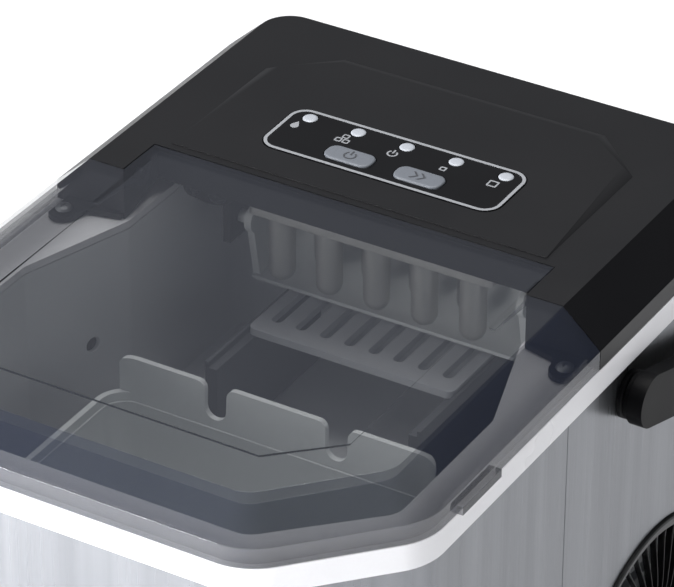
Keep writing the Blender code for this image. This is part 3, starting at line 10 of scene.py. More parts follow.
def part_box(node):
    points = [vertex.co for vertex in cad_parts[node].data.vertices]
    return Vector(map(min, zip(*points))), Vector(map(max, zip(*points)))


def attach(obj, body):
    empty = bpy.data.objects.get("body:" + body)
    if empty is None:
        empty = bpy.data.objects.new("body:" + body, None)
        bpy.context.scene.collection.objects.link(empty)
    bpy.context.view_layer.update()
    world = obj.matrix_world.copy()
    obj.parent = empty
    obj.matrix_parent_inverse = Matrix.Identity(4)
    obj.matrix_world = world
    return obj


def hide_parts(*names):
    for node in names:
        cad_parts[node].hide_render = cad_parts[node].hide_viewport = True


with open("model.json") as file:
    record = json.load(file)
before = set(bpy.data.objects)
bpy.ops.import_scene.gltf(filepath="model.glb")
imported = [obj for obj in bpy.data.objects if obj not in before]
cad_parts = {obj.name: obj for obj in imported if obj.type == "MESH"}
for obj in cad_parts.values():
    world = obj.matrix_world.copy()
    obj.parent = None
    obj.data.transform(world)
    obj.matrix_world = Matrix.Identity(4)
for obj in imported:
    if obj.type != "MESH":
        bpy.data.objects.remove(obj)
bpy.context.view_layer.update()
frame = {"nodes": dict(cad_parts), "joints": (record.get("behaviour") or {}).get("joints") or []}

# Sizes are in millimetres in this file. mm() turns them into Blender's metres.


def mm(x, y, z):
    return Vector((x, y, z)) * 0.001


def boxMm(node):
    low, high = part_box(node)
    return low * 1000, high * 1000


def centreMm(node):
    low, high = boxMm(node)
    return (low + high) / 2


rimLow, rimHigh = boxMm("top_frame")
lidLow, lidHigh = boxMm("lid")
baseLow, baseHigh = boxMm("base_tray")
tabDepth = 20.2                       # the lid's rear tab, behind the line where lid and cover meet
seamY = lidHigh.y - tabDepth
topZ = lidHigh.z
rimTop = rimHigh.z
rimBottom = rimLow.z
halfWidth = rimHigh.x
frontY = rimLow.y
rearY = rimHigh.y
touchGap = 0.3
runGap = 0.4

# The body's plan: an oblong with two cut-off front corners, and what its shoulder takes off
plan = {
    "cutX": 42.5, "cutY": 46.0, "frontRound": 24.0, "rearRound": 27.0, "cornerSteps": 14,
    "shoulderWide": 14.9, "shoulderDrop": 13.5, "frontWide": 12.0, "cutWide": 12.8,
}
hinge = {"behindSeam": 9.0, "belowTop": 6.0, "tabHalf": 81.9, "sweepSteps": 96, "pinRadius": 2.0}
facet = {"half": 77.0, "front": 130.4, "rear": 110.0, "cutX": 22.0, "cutY": 21.0, "start": 24.0,
         "slope": 0.018}
hingeY = seamY + hinge["behindSeam"]
hingeZ = topZ - hinge["belowTop"]
flatHalf = halfWidth - plan["shoulderWide"]


# Meshes

def planOutline(side, front, rear, cutIn, steps=None):
    steps = steps or plan["cornerSteps"]
    x = halfWidth - side
    yFront = frontY + front
    yRear = rearY - rear
    length = math.hypot(plan["cutX"], plan["cutY"])
    normal = (plan["cutY"] / length, -plan["cutX"] / length)
    along = (plan["cutX"] / length, plan["cutY"] / length)
    base = (halfWidth - plan["cutX"] - normal[0] * cutIn, frontY - normal[1] * cutIn)
    cutX = base[0] + along[0] * (yFront - base[1]) / along[1]
    cutY = base[1] + along[1] * (x - base[0]) / along[0]
    corners = [(-cutX, yFront), (cutX, yFront), (x, cutY), (x, yRear), (-x, yRear), (-x, cutY)]
    near = max(plan["frontRound"] - cutIn, 3.0)
    far = max(plan["rearRound"] - side, 3.0)
    return rounded(corners, [near, near, near, far, far, near], steps)


def evenOutline(inset, steps=None):
    return planOutline(inset, inset, inset, inset, steps)


def rounded(corners, radii, steps=6):
    outline = []
    for index, (corner, radius) in enumerate(zip(corners, radii)):
        here = Vector(corner)
        back = (Vector(corners[index - 1]) - here).normalized()
        ahead = (Vector(corners[(index + 1) % len(corners)]) - here).normalized()
        half = back.angle(ahead) / 2
        reach = radius / math.tan(half)
        start = here + back * reach
        end = here + ahead * reach
        middle = here + (back + ahead).normalized() * (radius / math.sin(half))
        first = math.atan2(start.y - middle.y, start.x - middle.x)
        turn = math.atan2(end.y - middle.y, end.x - middle.x) - first
        # the short way round, so that inward corners work too
        turn = (turn + math.pi) % math.tau - math.pi
        for step in range(steps + 1):
            angle = first + turn * step / steps
            outline.append((middle.x + radius * math.cos(angle), middle.y + radius * math.sin(angle)))
    return outline


def roundedBox(centre, width, depth, radius, steps=6):
    x, y = centre
    w = width / 2
    d = depth / 2
    return rounded([(x - w, y - d), (x + w, y - d), (x + w, y + d), (x - w, y + d)], [radius] * 4, steps)


def circle(centre, radius, steps=48):
    return [(centre[0] + radius * math.cos(math.tau * step / steps),
             centre[1] + radius * math.sin(math.tau * step / steps)) for step in range(steps)]


def raised(outline, height):
    if callable(height):
        return [mm(x, y, height(x, y)) for x, y in outline]
    return [mm(x, y, height) for x, y in outline]


def loft(mesh, loops, closed=False):
    rows = [[mesh.verts.new(corner) for corner in loop] for loop in loops]
    pairs = list(zip(rows, rows[1:]))
    if closed:
        pairs.append((rows[-1], rows[0]))
    for first, second in pairs:
        for step in range(len(first)):
            after = (step + 1) % len(first)
            mesh.faces.new((first[step], first[after], second[after], second[step]))
    if not closed:
        mesh.faces.new(list(reversed(rows[0])))
        mesh.faces.new(rows[-1])
    return mesh


def prism(mesh, outline, low, high, holes=(), place=mm):
    rings = [outline] + list(holes)
    flat = [[Vector((u, v, 0.0)) for u, v in ring] for ring in rings]
    total = [pair for ring in rings for pair in ring]
    bottom = [mesh.verts.new(place(u, v, low)) for u, v in total]
    top = [mesh.verts.new(place(u, v, high)) for u, v in total]
    if holes:
        for a, b, c in tessellate_polygon(flat):
            mesh.faces.new((top[a], top[b], top[c]))
            mesh.faces.new((bottom[c], bottom[b], bottom[a]))
    else:
        mesh.faces.new(top)
        mesh.faces.new(list(reversed(bottom)))
    start = 0
    for ring in rings:
        for step in range(len(ring)):
            a = start + step
            b = start + (step + 1) % len(ring)
            mesh.faces.new((bottom[a], bottom[b], top[b], top[a]))
        start += len(ring)
    return mesh


def block(mesh, low, high):
    return prism(mesh, [(low[0], low[1]), (high[0], low[1]), (high[0], high[1]), (low[0], high[1])], low[2],
                 high[2])


def turned(mesh, profile, centre, axis="Z", steps=48):
    def place(radius, height, angle):
        u = radius * math.cos(angle)
        v = radius * math.sin(angle)
        if axis == "X":
            return mm(centre[0] + height, centre[1] + u, centre[2] + v)
        if axis == "Y":
            return mm(centre[0] + v, centre[1] + height, centre[2] + u)
        return mm(centre[0] + u, centre[1] + v, centre[2] + height)

    rows = []
    for radius, height in profile:
        if radius == 0.0:
            rows.append([mesh.verts.new(place(0.0, height, 0.0))])
        else:
            rows.append([mesh.verts.new(place(radius, height,
                                              math.tau * step / steps)) for step in range(steps)])
    pairs = list(zip(rows, rows[1:]))
    if len(rows[0]) > 1:
        pairs.append((rows[-1], rows[0]))
    for first, second in pairs:
        for step in range(steps):
            after = (step + 1) % steps
            if len(first) == 1:
                mesh.faces.new((first[0], second[after], second[step]))
            elif len(second) == 1:
                mesh.faces.new((first[step], first[after], second[0]))
            else:
                mesh.faces.new((first[step], first[after], second[after], second[step]))
    return mesh


def sideways(x):
    # an outline drawn in Y and Z, on a plane that faces +X
    def place(u, v, w):
        return mm(x + w, u, v)
    return place


def upright(u, v, w):
    # an outline drawn in X and Z, pulled along Y
    return mm(u, w, v)


# Pieces

def rawPiece(name, mesh):
    bmesh.ops.recalc_face_normals(mesh, faces=mesh.faces)
    data = bpy.data.meshes.new(name)
    mesh.to_mesh(data)
    mesh.free()
    piece = bpy.data.objects.new(name, data)
    bpy.context.scene.collection.objects.link(piece)
    return piece


def settle(piece):
    graph = bpy.context.evaluated_depsgraph_get()
    data = bpy.data.meshes.new_from_object(piece.evaluated_get(graph))
    piece.modifiers.clear()
    piece.data = data
    return piece


def combine(piece, tool, operation="DIFFERENCE", solver="EXACT"):
    cutter = rawPiece("cutter", tool)
    step = piece.modifiers.new("step", "BOOLEAN")
    step.operation = operation
    step.solver = solver
    step.object = cutter
    settle(piece)
    bpy.data.objects.remove(cutter)
    return piece


def tidyMesh(piece):
    mesh = bmesh.new()
    mesh.from_mesh(piece.data)
    bmesh.ops.remove_doubles(mesh, verts=mesh.verts, dist=0.00002)
    bmesh.ops.dissolve_limit(mesh, angle_limit=math.radians(0.6), verts=mesh.verts, edges=mesh.edges)
    mesh.to_mesh(piece.data)
    mesh.free()


def done(piece, material, body, replaced=(), edge=0.0, segments=3, sharp=38.0, tidy=False):
    # rounded edges, smooth shading, material and the body that the piece moves with
    if tidy:
        tidyMesh(piece)
    if edge:
        step = piece.modifiers.new("edges", "BEVEL")
        step.width = edge * 0.001
        step.segments = segments
        step.limit_method = "ANGLE"
        step.angle_limit = math.radians(28)
        step.harden_normals = False
        settle(piece)
    piece.data.materials.clear()
    piece.data.materials.append(material)
    piece.data.shade_smooth()
    piece.data.set_sharp_from_angle(angle=math.radians(sharp))
    step = piece.modifiers.new("normals", "WEIGHTED_NORMAL")
    step.keep_sharp = True
    settle(piece)
    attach(piece, body)
    if replaced:
        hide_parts(*replaced)
    return piece


# Materials

def linear(hexColour):
    values = [int(hexColour[start:start + 2], 16) / 255 for start in (1, 3, 5)]
    return tuple(v / 12.92 if v <= 0.04045 else ((v + 0.055) / 1.055) ** 2.4 for v in values) + (1.0,)


def addNode(tree, kind, settings=None, links=None):
    node = tree.nodes.new(kind)
    for name, value in (settings or {}).items():
        if name in node.inputs:
            node.inputs[name].default_value = value
        else:
            setattr(node, name, value)
    for name, source in (links or {}).items():
        tree.links.new(source, node.inputs[name])
    return node


def startMaterial(name, settings):
    material = bpy.data.materials.new(name)
    material.use_nodes = True
    tree = material.node_tree
    shader = tree.nodes["Principled BSDF"]
    for key, value in settings.items():
        shader.inputs[key].default_value = value
    return material, tree, shader


def mouldedPlastic(name, colour, roughness, grain, relief, spread=0.05, ior=1.5, shade=0.12):
    # mould texture of a given grain size breaks up the highlights, and slow drifts in gloss show the flow
    material, tree, shader = startMaterial(name, {"IOR": ior})
    place = addNode(tree, "ShaderNodeTexCoord").outputs["Object"]
    grit = addNode(tree, "ShaderNodeTexNoise", {"Scale": 1000 / grain, "Detail": 2.0, "Roughness": 0.55},
                   {"Vector": place}).outputs["Fac"]
    drift = addNode(tree, "ShaderNodeTexNoise", {"Scale": 1000 / 45, "Detail": 3.0, "Roughness": 0.5},
                    {"Vector": place}).outputs["Fac"]
    gloss = addNode(tree, "ShaderNodeMapRange",
                    {"From Min": 0.3, "From Max": 0.7, "To Min": roughness - spread,
                     "To Max": roughness + spread},
                    {"Value": drift}).outputs["Result"]
    base = linear(colour)
    dark = tuple(c * (1 - shade) for c in base[:3]) + (1.0,)
    ramp = addNode(tree, "ShaderNodeMix", {"data_type": "RGBA"})
    tree.links.new(grit, ramp.inputs["Factor"])
    ramp.inputs[6].default_value = dark
    ramp.inputs[7].default_value = base
    bump = addNode(tree, "ShaderNodeBump", {"Strength": 0.6, "Distance": relief * 0.001}, {"Height": grit})
    tree.links.new(ramp.outputs[2], shader.inputs["Base Color"])
    tree.links.new(gloss, shader.inputs["Roughness"])
    tree.links.new(bump.outputs["Normal"], shader.inputs["Normal"])
    return material


def brushedStainless():
    # 304 sheet brushed from top to bottom: long fine streaks that stretch the reflections sideways
    material, tree, shader = startMaterial("brushedStainless", {"Metallic": 1.0, "Anisotropic": 0.55})
    place = addNode(tree, "ShaderNodeTexCoord").outputs["Object"]
    # the real scratches are about 0.05 mm wide: 0.5 mm is the finest that still shows
    long = addNode(tree, "ShaderNodeMapping", {"Scale": (1000 / 0.5, 1000 / 0.5, 1000 / 70)},
                   {"Vector": place})
    streak = addNode(tree, "ShaderNodeTexNoise", {"Scale": 1.0, "Detail": 3.0, "Roughness": 0.65},
                     {"Vector": long.outputs["Vector"]}).outputs["Fac"]
    wide = addNode(tree, "ShaderNodeMapping", {"Scale": (1000 / 9, 1000 / 9, 1000 / 260)}, {"Vector": place})
    band = addNode(tree, "ShaderNodeTexNoise", {"Scale": 1.0, "Detail": 2.0},
                   {"Vector": wide.outputs["Vector"]})
    rough = addNode(tree, "ShaderNodeMapRange", {"From Min": 0.25, "From Max": 0.75, "To Min": 0.24,
                                                 "To Max": 0.40},
                    {"Value": streak}).outputs["Result"]
    tint = addNode(tree, "ShaderNodeMix", {"data_type": "RGBA"}, {"Factor": band.outputs["Fac"]})
    tint.inputs[6].default_value = linear("#74767a")
    tint.inputs[7].default_value = linear("#919397")
    bump = addNode(tree, "ShaderNodeBump", {"Strength": 0.35, "Distance": 0.00002}, {"Height": streak})
    tangent = addNode(tree, "ShaderNodeTangent", {"direction_type": "RADIAL", "axis": "Z"})
    tree.links.new(tint.outputs[2], shader.inputs["Base Color"])
    tree.links.new(rough, shader.inputs["Roughness"])
    tree.links.new(bump.outputs["Normal"], shader.inputs["Normal"])
    tree.links.new(tangent.outputs["Tangent"], shader.inputs["Tangent"])
    return material


def smokePolystyrene(name, thin, edgeOn, gloss, index=2.2, dark="#22252d", light="#272a34"):
    # injection-moulded smoke polystyrene: polished, so it mirrors the room, with a faint blue-grey body
    # the index is high because each of its two faces only counts by its alpha
    material, tree, shader = startMaterial(name, {"Roughness": gloss, "IOR": index})
    place = addNode(tree, "ShaderNodeTexCoord").outputs["Object"]
    flow = addNode(tree, "ShaderNodeTexNoise", {"Scale": 1000 / 60, "Detail": 2.0},
                   {"Vector": place}).outputs["Fac"]
    tint = addNode(tree, "ShaderNodeMix", {"data_type": "RGBA"}, {"Factor": flow})
    tint.inputs[6].default_value = linear(dark)
    tint.inputs[7].default_value = linear(light)
    facing = addNode(tree, "ShaderNodeLayerWeight", {"Blend": 0.3}).outputs["Facing"]
    cover = addNode(tree, "ShaderNodeMapRange", {"From Min": 0.0, "From Max": 1.0, "To Min": thin,
                                                 "To Max": edgeOn},
                    {"Value": facing}).outputs["Result"]
    wave = addNode(tree, "ShaderNodeBump", {"Strength": 0.1, "Distance": 0.0001}, {"Height": flow})
    tree.links.new(tint.outputs[2], shader.inputs["Base Color"])
    tree.links.new(cover, shader.inputs["Alpha"])
    tree.links.new(wave.outputs["Normal"], shader.inputs["Normal"])
    return material


def plainMetal(name, colour, roughness, grain, stretch=(1.0, 1.0, 1.0)):
    # worn or drawn metal: the grain drives the gloss, so highlights break up along it
    material, tree, shader = startMaterial(name, {"Metallic": 1.0})
    place = addNode(tree, "ShaderNodeTexCoord").outputs["Object"]
    scaled = addNode(tree, "ShaderNodeMapping", {"Scale": tuple(1000 / grain / part for part in stretch)},
                     {"Vector": place})
    noise = addNode(tree, "ShaderNodeTexNoise", {"Scale": 1.0, "Detail": 3.0},
                    {"Vector": scaled.outputs["Vector"]})
    rough = addNode(tree, "ShaderNodeMapRange", {"From Min": 0.3, "From Max": 0.7, "To Min": roughness - 0.06,
                                                 "To Max": roughness + 0.06}, {"Value": noise.outputs["Fac"]})
    base = linear(colour)
    tint = addNode(tree, "ShaderNodeMix", {"data_type": "RGBA"}, {"Factor": noise.outputs["Fac"]})
    tint.inputs[6].default_value = tuple(c * 0.86 for c in base[:3]) + (1.0,)
    tint.inputs[7].default_value = base
    tree.links.new(tint.outputs[2], shader.inputs["Base Color"])
    tree.links.new(rough.outputs["Result"], shader.inputs["Roughness"])
    return material


finish = {
    # black ABS with a fine spark texture: soft broad highlights
    "coverAbs": mouldedPlastic("sparkTexturedBlackAbs", "#0d0d10", 0.36, 0.7, 0.012, 0.04, 1.36),
    "handleAbs": mouldedPlastic("mouldedBlackAbs", "#050507", 0.5, 0.9, 0.014, 0.04, 1.22),
    "backAbs": mouldedPlastic("matteBlackAbs", "#202022", 0.5, 0.9, 0.02),
    # white ABS, tool-polished: bright with a soft gloss
    "rimAbs": mouldedPlastic("polishedWhiteAbs", "#f2f2f5", 0.30, 1.2, 0.004, 0.04, 1.5, 0.03),
    "tubPp": mouldedPlastic("whitePolypropylene", "#e6e8ea", 0.38, 1.6, 0.006, 0.06, 1.49, 0.05),
    "basketPp": mouldedPlastic("naturalPolypropylene", "#dfe2e2", 0.40, 1.4, 0.006, 0.06, 1.49, 0.05),
    "shovelAbs": mouldedPlastic("greyAbs", "#c4c6ca", 0.42, 1.0, 0.01),
    # the rails' dark grey is painted shade: it stands for the shade they lie in beside the shovel
    "railAbsPaintedShade": mouldedPlastic("railGreyPaintedShadeAbs", "#56585c", 0.55, 1.0, 0.01, 0.04, 1.4),
    "ventAbs": mouldedPlastic("blackAbsGrille", "#020203", 0.45, 0.8, 0.012, 0.04, 1.2),
    "ventRing": mouldedPlastic("satinBlackAbsRing", "#1c1f21", 0.45, 0.8, 0.012),
    # printed polycarbonate overlay: a hard satin film
    "overlay": mouldedPlastic("satinOverlayFilm", "#08080b", 0.34, 0.5, 0.003, 0.03, 1.26),
    "ink": mouldedPlastic("screenPrintInk", "#8f9195", 0.55, 0.4, 0.002, 0.04, 1.5),
    "inkDark": mouldedPlastic("darkPrintInk", "#3a3c41", 0.55, 0.4, 0.002, 0.04, 1.5),
    "button": mouldedPlastic("lightGreyKeycap", "#6a6e75", 0.42, 0.6, 0.006, 0.04, 1.4),
    "lens": mouldedPlastic("frostedPolycarbonate", "#a9adb4", 0.42, 0.5, 0.006, 0.05, 1.58),
    "rubber": mouldedPlastic("mouldedNitrileRubber", "#1c1c1c", 0.72, 0.8, 0.02, 0.06),
    "hose": mouldedPlastic("extrudedSilicone", "#c9cccc", 0.35, 1.5, 0.004, 0.04, 1.42),
    "board": mouldedPlastic("greenSolderMask", "#1f5a36", 0.36, 2.2, 0.01, 0.05, 1.5, 0.4),
    "enamel": mouldedPlastic("blackStovingEnamel", "#161617", 0.30, 1.5, 0.02, 0.06),
    "dome": mouldedPlastic("blackPolycarbonateLens", "#0c0c0e", 0.05, 3.0, 0.001, 0.02, 1.58),
    "steel": brushedStainless(),
    # the flat top is the clearest copy; the shoulders get a darker, denser copy, painted shade for the darker
    # room they reflect, and the step round the facet gets a near-black copy, a painted dark line along the
    # step
    "smoke": smokePolystyrene("smokePolystyrene", 0.20, 0.56, 0.06, 2.3, "#2b2e37", "#30343f"),
    "smokeShadedShoulder": smokePolystyrene("smokePolystyreneShoulderPaintedShade", 0.50, 0.82, 0.05, 2.0, "#1b2130", "#20273a"),
    "smokeStepPaintedDark": smokePolystyrene("smokePolystyreneStepPaintedDark", 0.93, 0.97, 0.12, 1.4),
    # trimmed rear ends, seen through the top: no mirror, only a slightly darker band
    "smokeEnd": smokePolystyrene("smokePolystyreneRearEnd", 0.3, 0.3, 0.5, 1.1),
    "darkPinSteel": plainMetal("darkGreySteelPin", "#26272a", 0.5, 1.0),
    "zinc": plainMetal("zincPlatedSteel", "#a4a6a8", 0.48, 1.2),
    "nickel": plainMetal("satinNickelPlate", "#d9d8d5", 0.46, 2.0),
    "fins": plainMetal("bareAluminiumFins", "#c8cacc", 0.38, 1.5, (1.0, 8.0, 1.0)),
    "copper": plainMetal("drawnCopper", "#b87350", 0.28, 1.5),
}
print("materials made:", len(finish))


# Camera, floor and light

def buildStage():
    stage = {"azimuth": 30.574, "elevation": 32.109, "roll": 0.2465, "distance": 1468.4, "lens": 229.23,
             "target": (26.45, -33.01 + seamY, topZ), "floor": "#f7f7f8", "roomLeft": 0.52, "roomRight": 0.03}
    scene = bpy.context.scene
    scene.view_settings.view_transform = "Standard"
    azimuth = math.radians(stage["azimuth"])
    elevation = math.radians(stage["elevation"])
    back = Vector((math.sin(azimuth) * math.cos(elevation), -math.cos(azimuth) * math.cos(elevation),
                   math.sin(elevation)))
    lens = bpy.data.cameras.new("camera")
    lens.lens = stage["lens"]
    lens.sensor_width = 36.0
    lens.clip_start = 0.05
    camera = bpy.data.objects.new("camera", lens)
    scene.collection.objects.link(camera)
    turn = Matrix.Rotation(azimuth, 4, "Z") @ Matrix.Rotation(math.pi / 2 - elevation, 4, "X")
    turn = turn @ Matrix.Rotation(math.radians(stage["roll"]), 4, "Z")
    camera.matrix_world = Matrix.Translation(mm(*stage["target"]) + back * stage["distance"] * 0.001) @ turn
    scene.camera = camera

    floor = bmesh.new()
    size = 6.0
    corners = [floor.verts.new((x * size, y * size, 0.0)) for x, y in ((-1, -1), (1, -1), (1, 1), (-1, 1))]
    floor.faces.new(corners)
    ground = rawPiece("floor", floor)
    ground.data.materials.append(mouldedPlastic("paleMattFloor", stage["floor"], 0.85, 3.0, 0.002, 0.04, 1.4,
                                                0.01))

    # the room is brighter on the left than on the right, which the polished lid shows
    world = bpy.data.worlds.new("studio")
    world.use_nodes = True
    tree = world.node_tree
    place = addNode(tree, "ShaderNodeTexCoord").outputs["Generated"]
    across = addNode(tree, "ShaderNodeSeparateXYZ", {}, {"Vector": place}).outputs["X"]
    level = addNode(tree, "ShaderNodeMapRange",
                    {"From Min": -1.0, "From Max": 0.9, "To Min": stage["roomLeft"],
                     "To Max": stage["roomRight"]},
                    {"Value": across}).outputs["Result"]
    glow = tree.nodes["Background"]
    glow.inputs["Color"].default_value = linear("#f4f6fa")
    tree.links.new(level, glow.inputs["Strength"])
    scene.world = world

    def softbox(name, place, aim, wide, tall, power, colour="#ffffff"):
        light = bpy.data.lights.new(name, "AREA")
        light.shape = "RECTANGLE"
        light.size = wide
        light.size_y = tall
        light.energy = power
        light.color = linear(colour)[:3]
        lamp = bpy.data.objects.new(name, light)
        scene.collection.objects.link(lamp)
        lamp.location = place
        lamp.rotation_euler = (Vector(aim) - Vector(place)).to_track_quat("-Z", "Y").to_euler()

    middle = (0.0, 0.0, 0.2)
    softbox("overhead", (-0.25, 0.25, 2.3), middle, 1.4, 1.4, 44.0)
    softbox("leftKey", (-2.0, -0.7, 1.7), middle, 1.2, 1.0, 18.0)
    softbox("frontFloor", (-0.5, -0.95, 0.5), (-0.2, -0.45, 0.0), 0.6, 0.4, 20.0)
    softbox("frontLow", (-0.95, -1.9, 0.42), (0.0, -0.15, 0.27), 1.0, 0.25, 4.0)
    softbox("lowRight", (1.9, -0.5, 0.5), (0.1, 0.0, 0.25), 0.9, 0.5, 5.0)


buildStage()
print("stage ready")


# Shells of the upper body

def shoulderLoops(inset, top, bottom, steps=None):
    # three loops: lower edge, where the shoulder starts, and the fold round the flat top
    shrink = inset * 0.4
    fold = planOutline(plan["shoulderWide"] + shrink, plan["frontWide"] + shrink,
                       plan["shoulderWide"] + shrink,
                       plan["cutWide"] + shrink, steps)
    edge = evenOutline(inset, steps)
    return [raised(edge, bottom), raised(edge, topZ - plan["shoulderDrop"] - shrink), raised(fold, top)]


def facetHeight(x, y):
    return topZ + (y - seamY) * facet["slope"]


def facetOutline(inset, side):
    # side 1 is the half on the cover, side -1 the half on the lid
    start = seamY + side * facet["start"]
    end = seamY + side * (facet["rear"] if side > 0 else facet["front"])
    cutY = end - side * facet["cutY"]
    cutX = facet["half"] - facet["cutX"]
    x = facet["half"]
    corners = [(x, start), (x - inset, cutY + side * inset * 0.4), (cutX - inset * 0.4, end - side * inset),
               (-cutX + inset * 0.4, end - side * inset), (-x + inset, cutY + side * inset * 0.4),
               (-x, start)]
    return corners if side > 0 else list(reversed(corners))


def tabReach():
    return math.hypot(tabDepth - hinge["behindSeam"], hinge["belowTop"]) + runGap


def buildCover():
    cover = {"wall": 2.6, "earWall": 2.4, "facetWall": 5.0, "lug": 2.4, "edge": 0.7, "apron": 15.0,
             "apronSlope": 3.7, "low": rimTop + touchGap}
    mesh = bmesh.new()
    piece = rawPiece("coverShell", loft(mesh, shoulderLoops(0.0, topZ, cover["low"])))
    hollow = loft(bmesh.new(), shoulderLoops(cover["wall"], topZ - cover["wall"], rimTop - 5.0))
    combine(piece, hollow)
    earInner = hinge["tabHalf"] + runGap
    apronY = hingeY + tabReach()
    wall = cover["earWall"]
    outer = halfWidth - cover["wall"] + 0.6
    outline = [(earInner, seamY - 2.0), (outer, seamY - 2.0), (outer, seamY + wall),
               (earInner + wall, seamY + wall),
               (earInner + wall, apronY + wall), (-earInner - wall, apronY + wall),
               (-earInner - wall, seamY + wall),
               (-outer, seamY + wall), (-outer, seamY - 2.0), (-earInner, seamY - 2.0), (-earInner, apronY),
               (earInner, apronY)]
    walls = rawPiece("coverWalls", prism(bmesh.new(), outline, cover["low"], topZ - 1.6))
    combine(walls, loft(bmesh.new(), shoulderLoops(0.5, topZ - 0.5, cover["low"] - 5.0)), "INTERSECT")
    # the apron stops short of the rim and the ear walls slope down from it, so the bay shows below
    back = apronY + wall + 1.0
    apronLow = topZ - cover["apron"]
    start = seamY + cover["apronSlope"]
    clear = [(start, cover["low"]), (start, cover["low"] - 5.0), (back, cover["low"] - 5.0), (back, apronLow),
             (apronY, apronLow)]
    combine(walls, prism(bmesh.new(), clear, -earInner - wall - 0.1, earInner + wall + 0.1, (),
                         sideways(0.0)),
            "DIFFERENCE", "MANIFOLD")
    joined = bmesh.new()
    joined.from_mesh(walls.data)
    bpy.data.objects.remove(walls)
    combine(piece, joined, "UNION", "MANIFOLD")
    far = halfWidth + 5.0
    combine(piece, block(bmesh.new(), (-far, frontY - 20, rimTop - 10), (far, seamY, topZ + 20)),
            "DIFFERENCE", "MANIFOLD")
    combine(piece, block(bmesh.new(), (-earInner, seamY - 5, rimTop - 10),
                         (earInner, hingeY + 2.0, topZ + 20)),
            "DIFFERENCE", "MANIFOLD")
    sweep = [(0, -earInner), (tabReach(), -earInner), (tabReach(), earInner), (0, earInner)]
    combine(piece, turned(bmesh.new(), sweep, (0, hingeY, hingeZ), "X", hinge["sweepSteps"]),
            "DIFFERENCE", "MANIFOLD")
    # raised facet that tilts up towards the back
    outline = facetOutline(0.0, 1)
    raisedFacet = loft(bmesh.new(), [raised(outline, topZ - 1.2), raised(outline, topZ + 0.04),
                                     raised(facetOutline(cover["facetWall"], 1), facetHeight)])
    combine(piece, raisedFacet, "UNION", "MANIFOLD")
    pocket = prism(bmesh.new(), roundedBox((0, 0), label["width"] + 0.6, label["depth"] + 0.6,
                                           label["round"] + 0.3),
                   -0.75, 4.0, (), panelPlace)
    combine(piece, pocket, "DIFFERENCE", "MANIFOLD")
    # flat lugs under the lid's rear corners
    lugs = bmesh.new()
    for side in (-1, 1):
        screw = centreMm("cover_screw_right" if side > 0 else "cover_screw_left")
        inner = side * (flatHalf - 13.6)
        outline = [(inner, seamY + 1.2), (inner, seamY - 1.5), (screw.x - side * 7.0, seamY - 4.6)]
        start, end = (math.pi, 1.75 * math.pi) if side > 0 else (0.0, -0.75 * math.pi)
        for step in range(19):
            angle = start + (end - start) * step / 18
            outline.append((screw.x + 5.6 * math.cos(angle), screw.y + 6.0 * math.sin(angle)))
        outline.append((screw.x + side * 4.0, seamY + 1.2))
        prism(lugs, outline, cover["low"] + 0.2, cover["low"] + cover["lug"],
              [circle((screw.x, screw.y), 1.9, 24)])
    combine(piece, lugs, "UNION", "MANIFOLD")
    return done(piece, finish["coverAbs"], "housing", ["control_cover"], cover["edge"], 3,
                tidy=True)


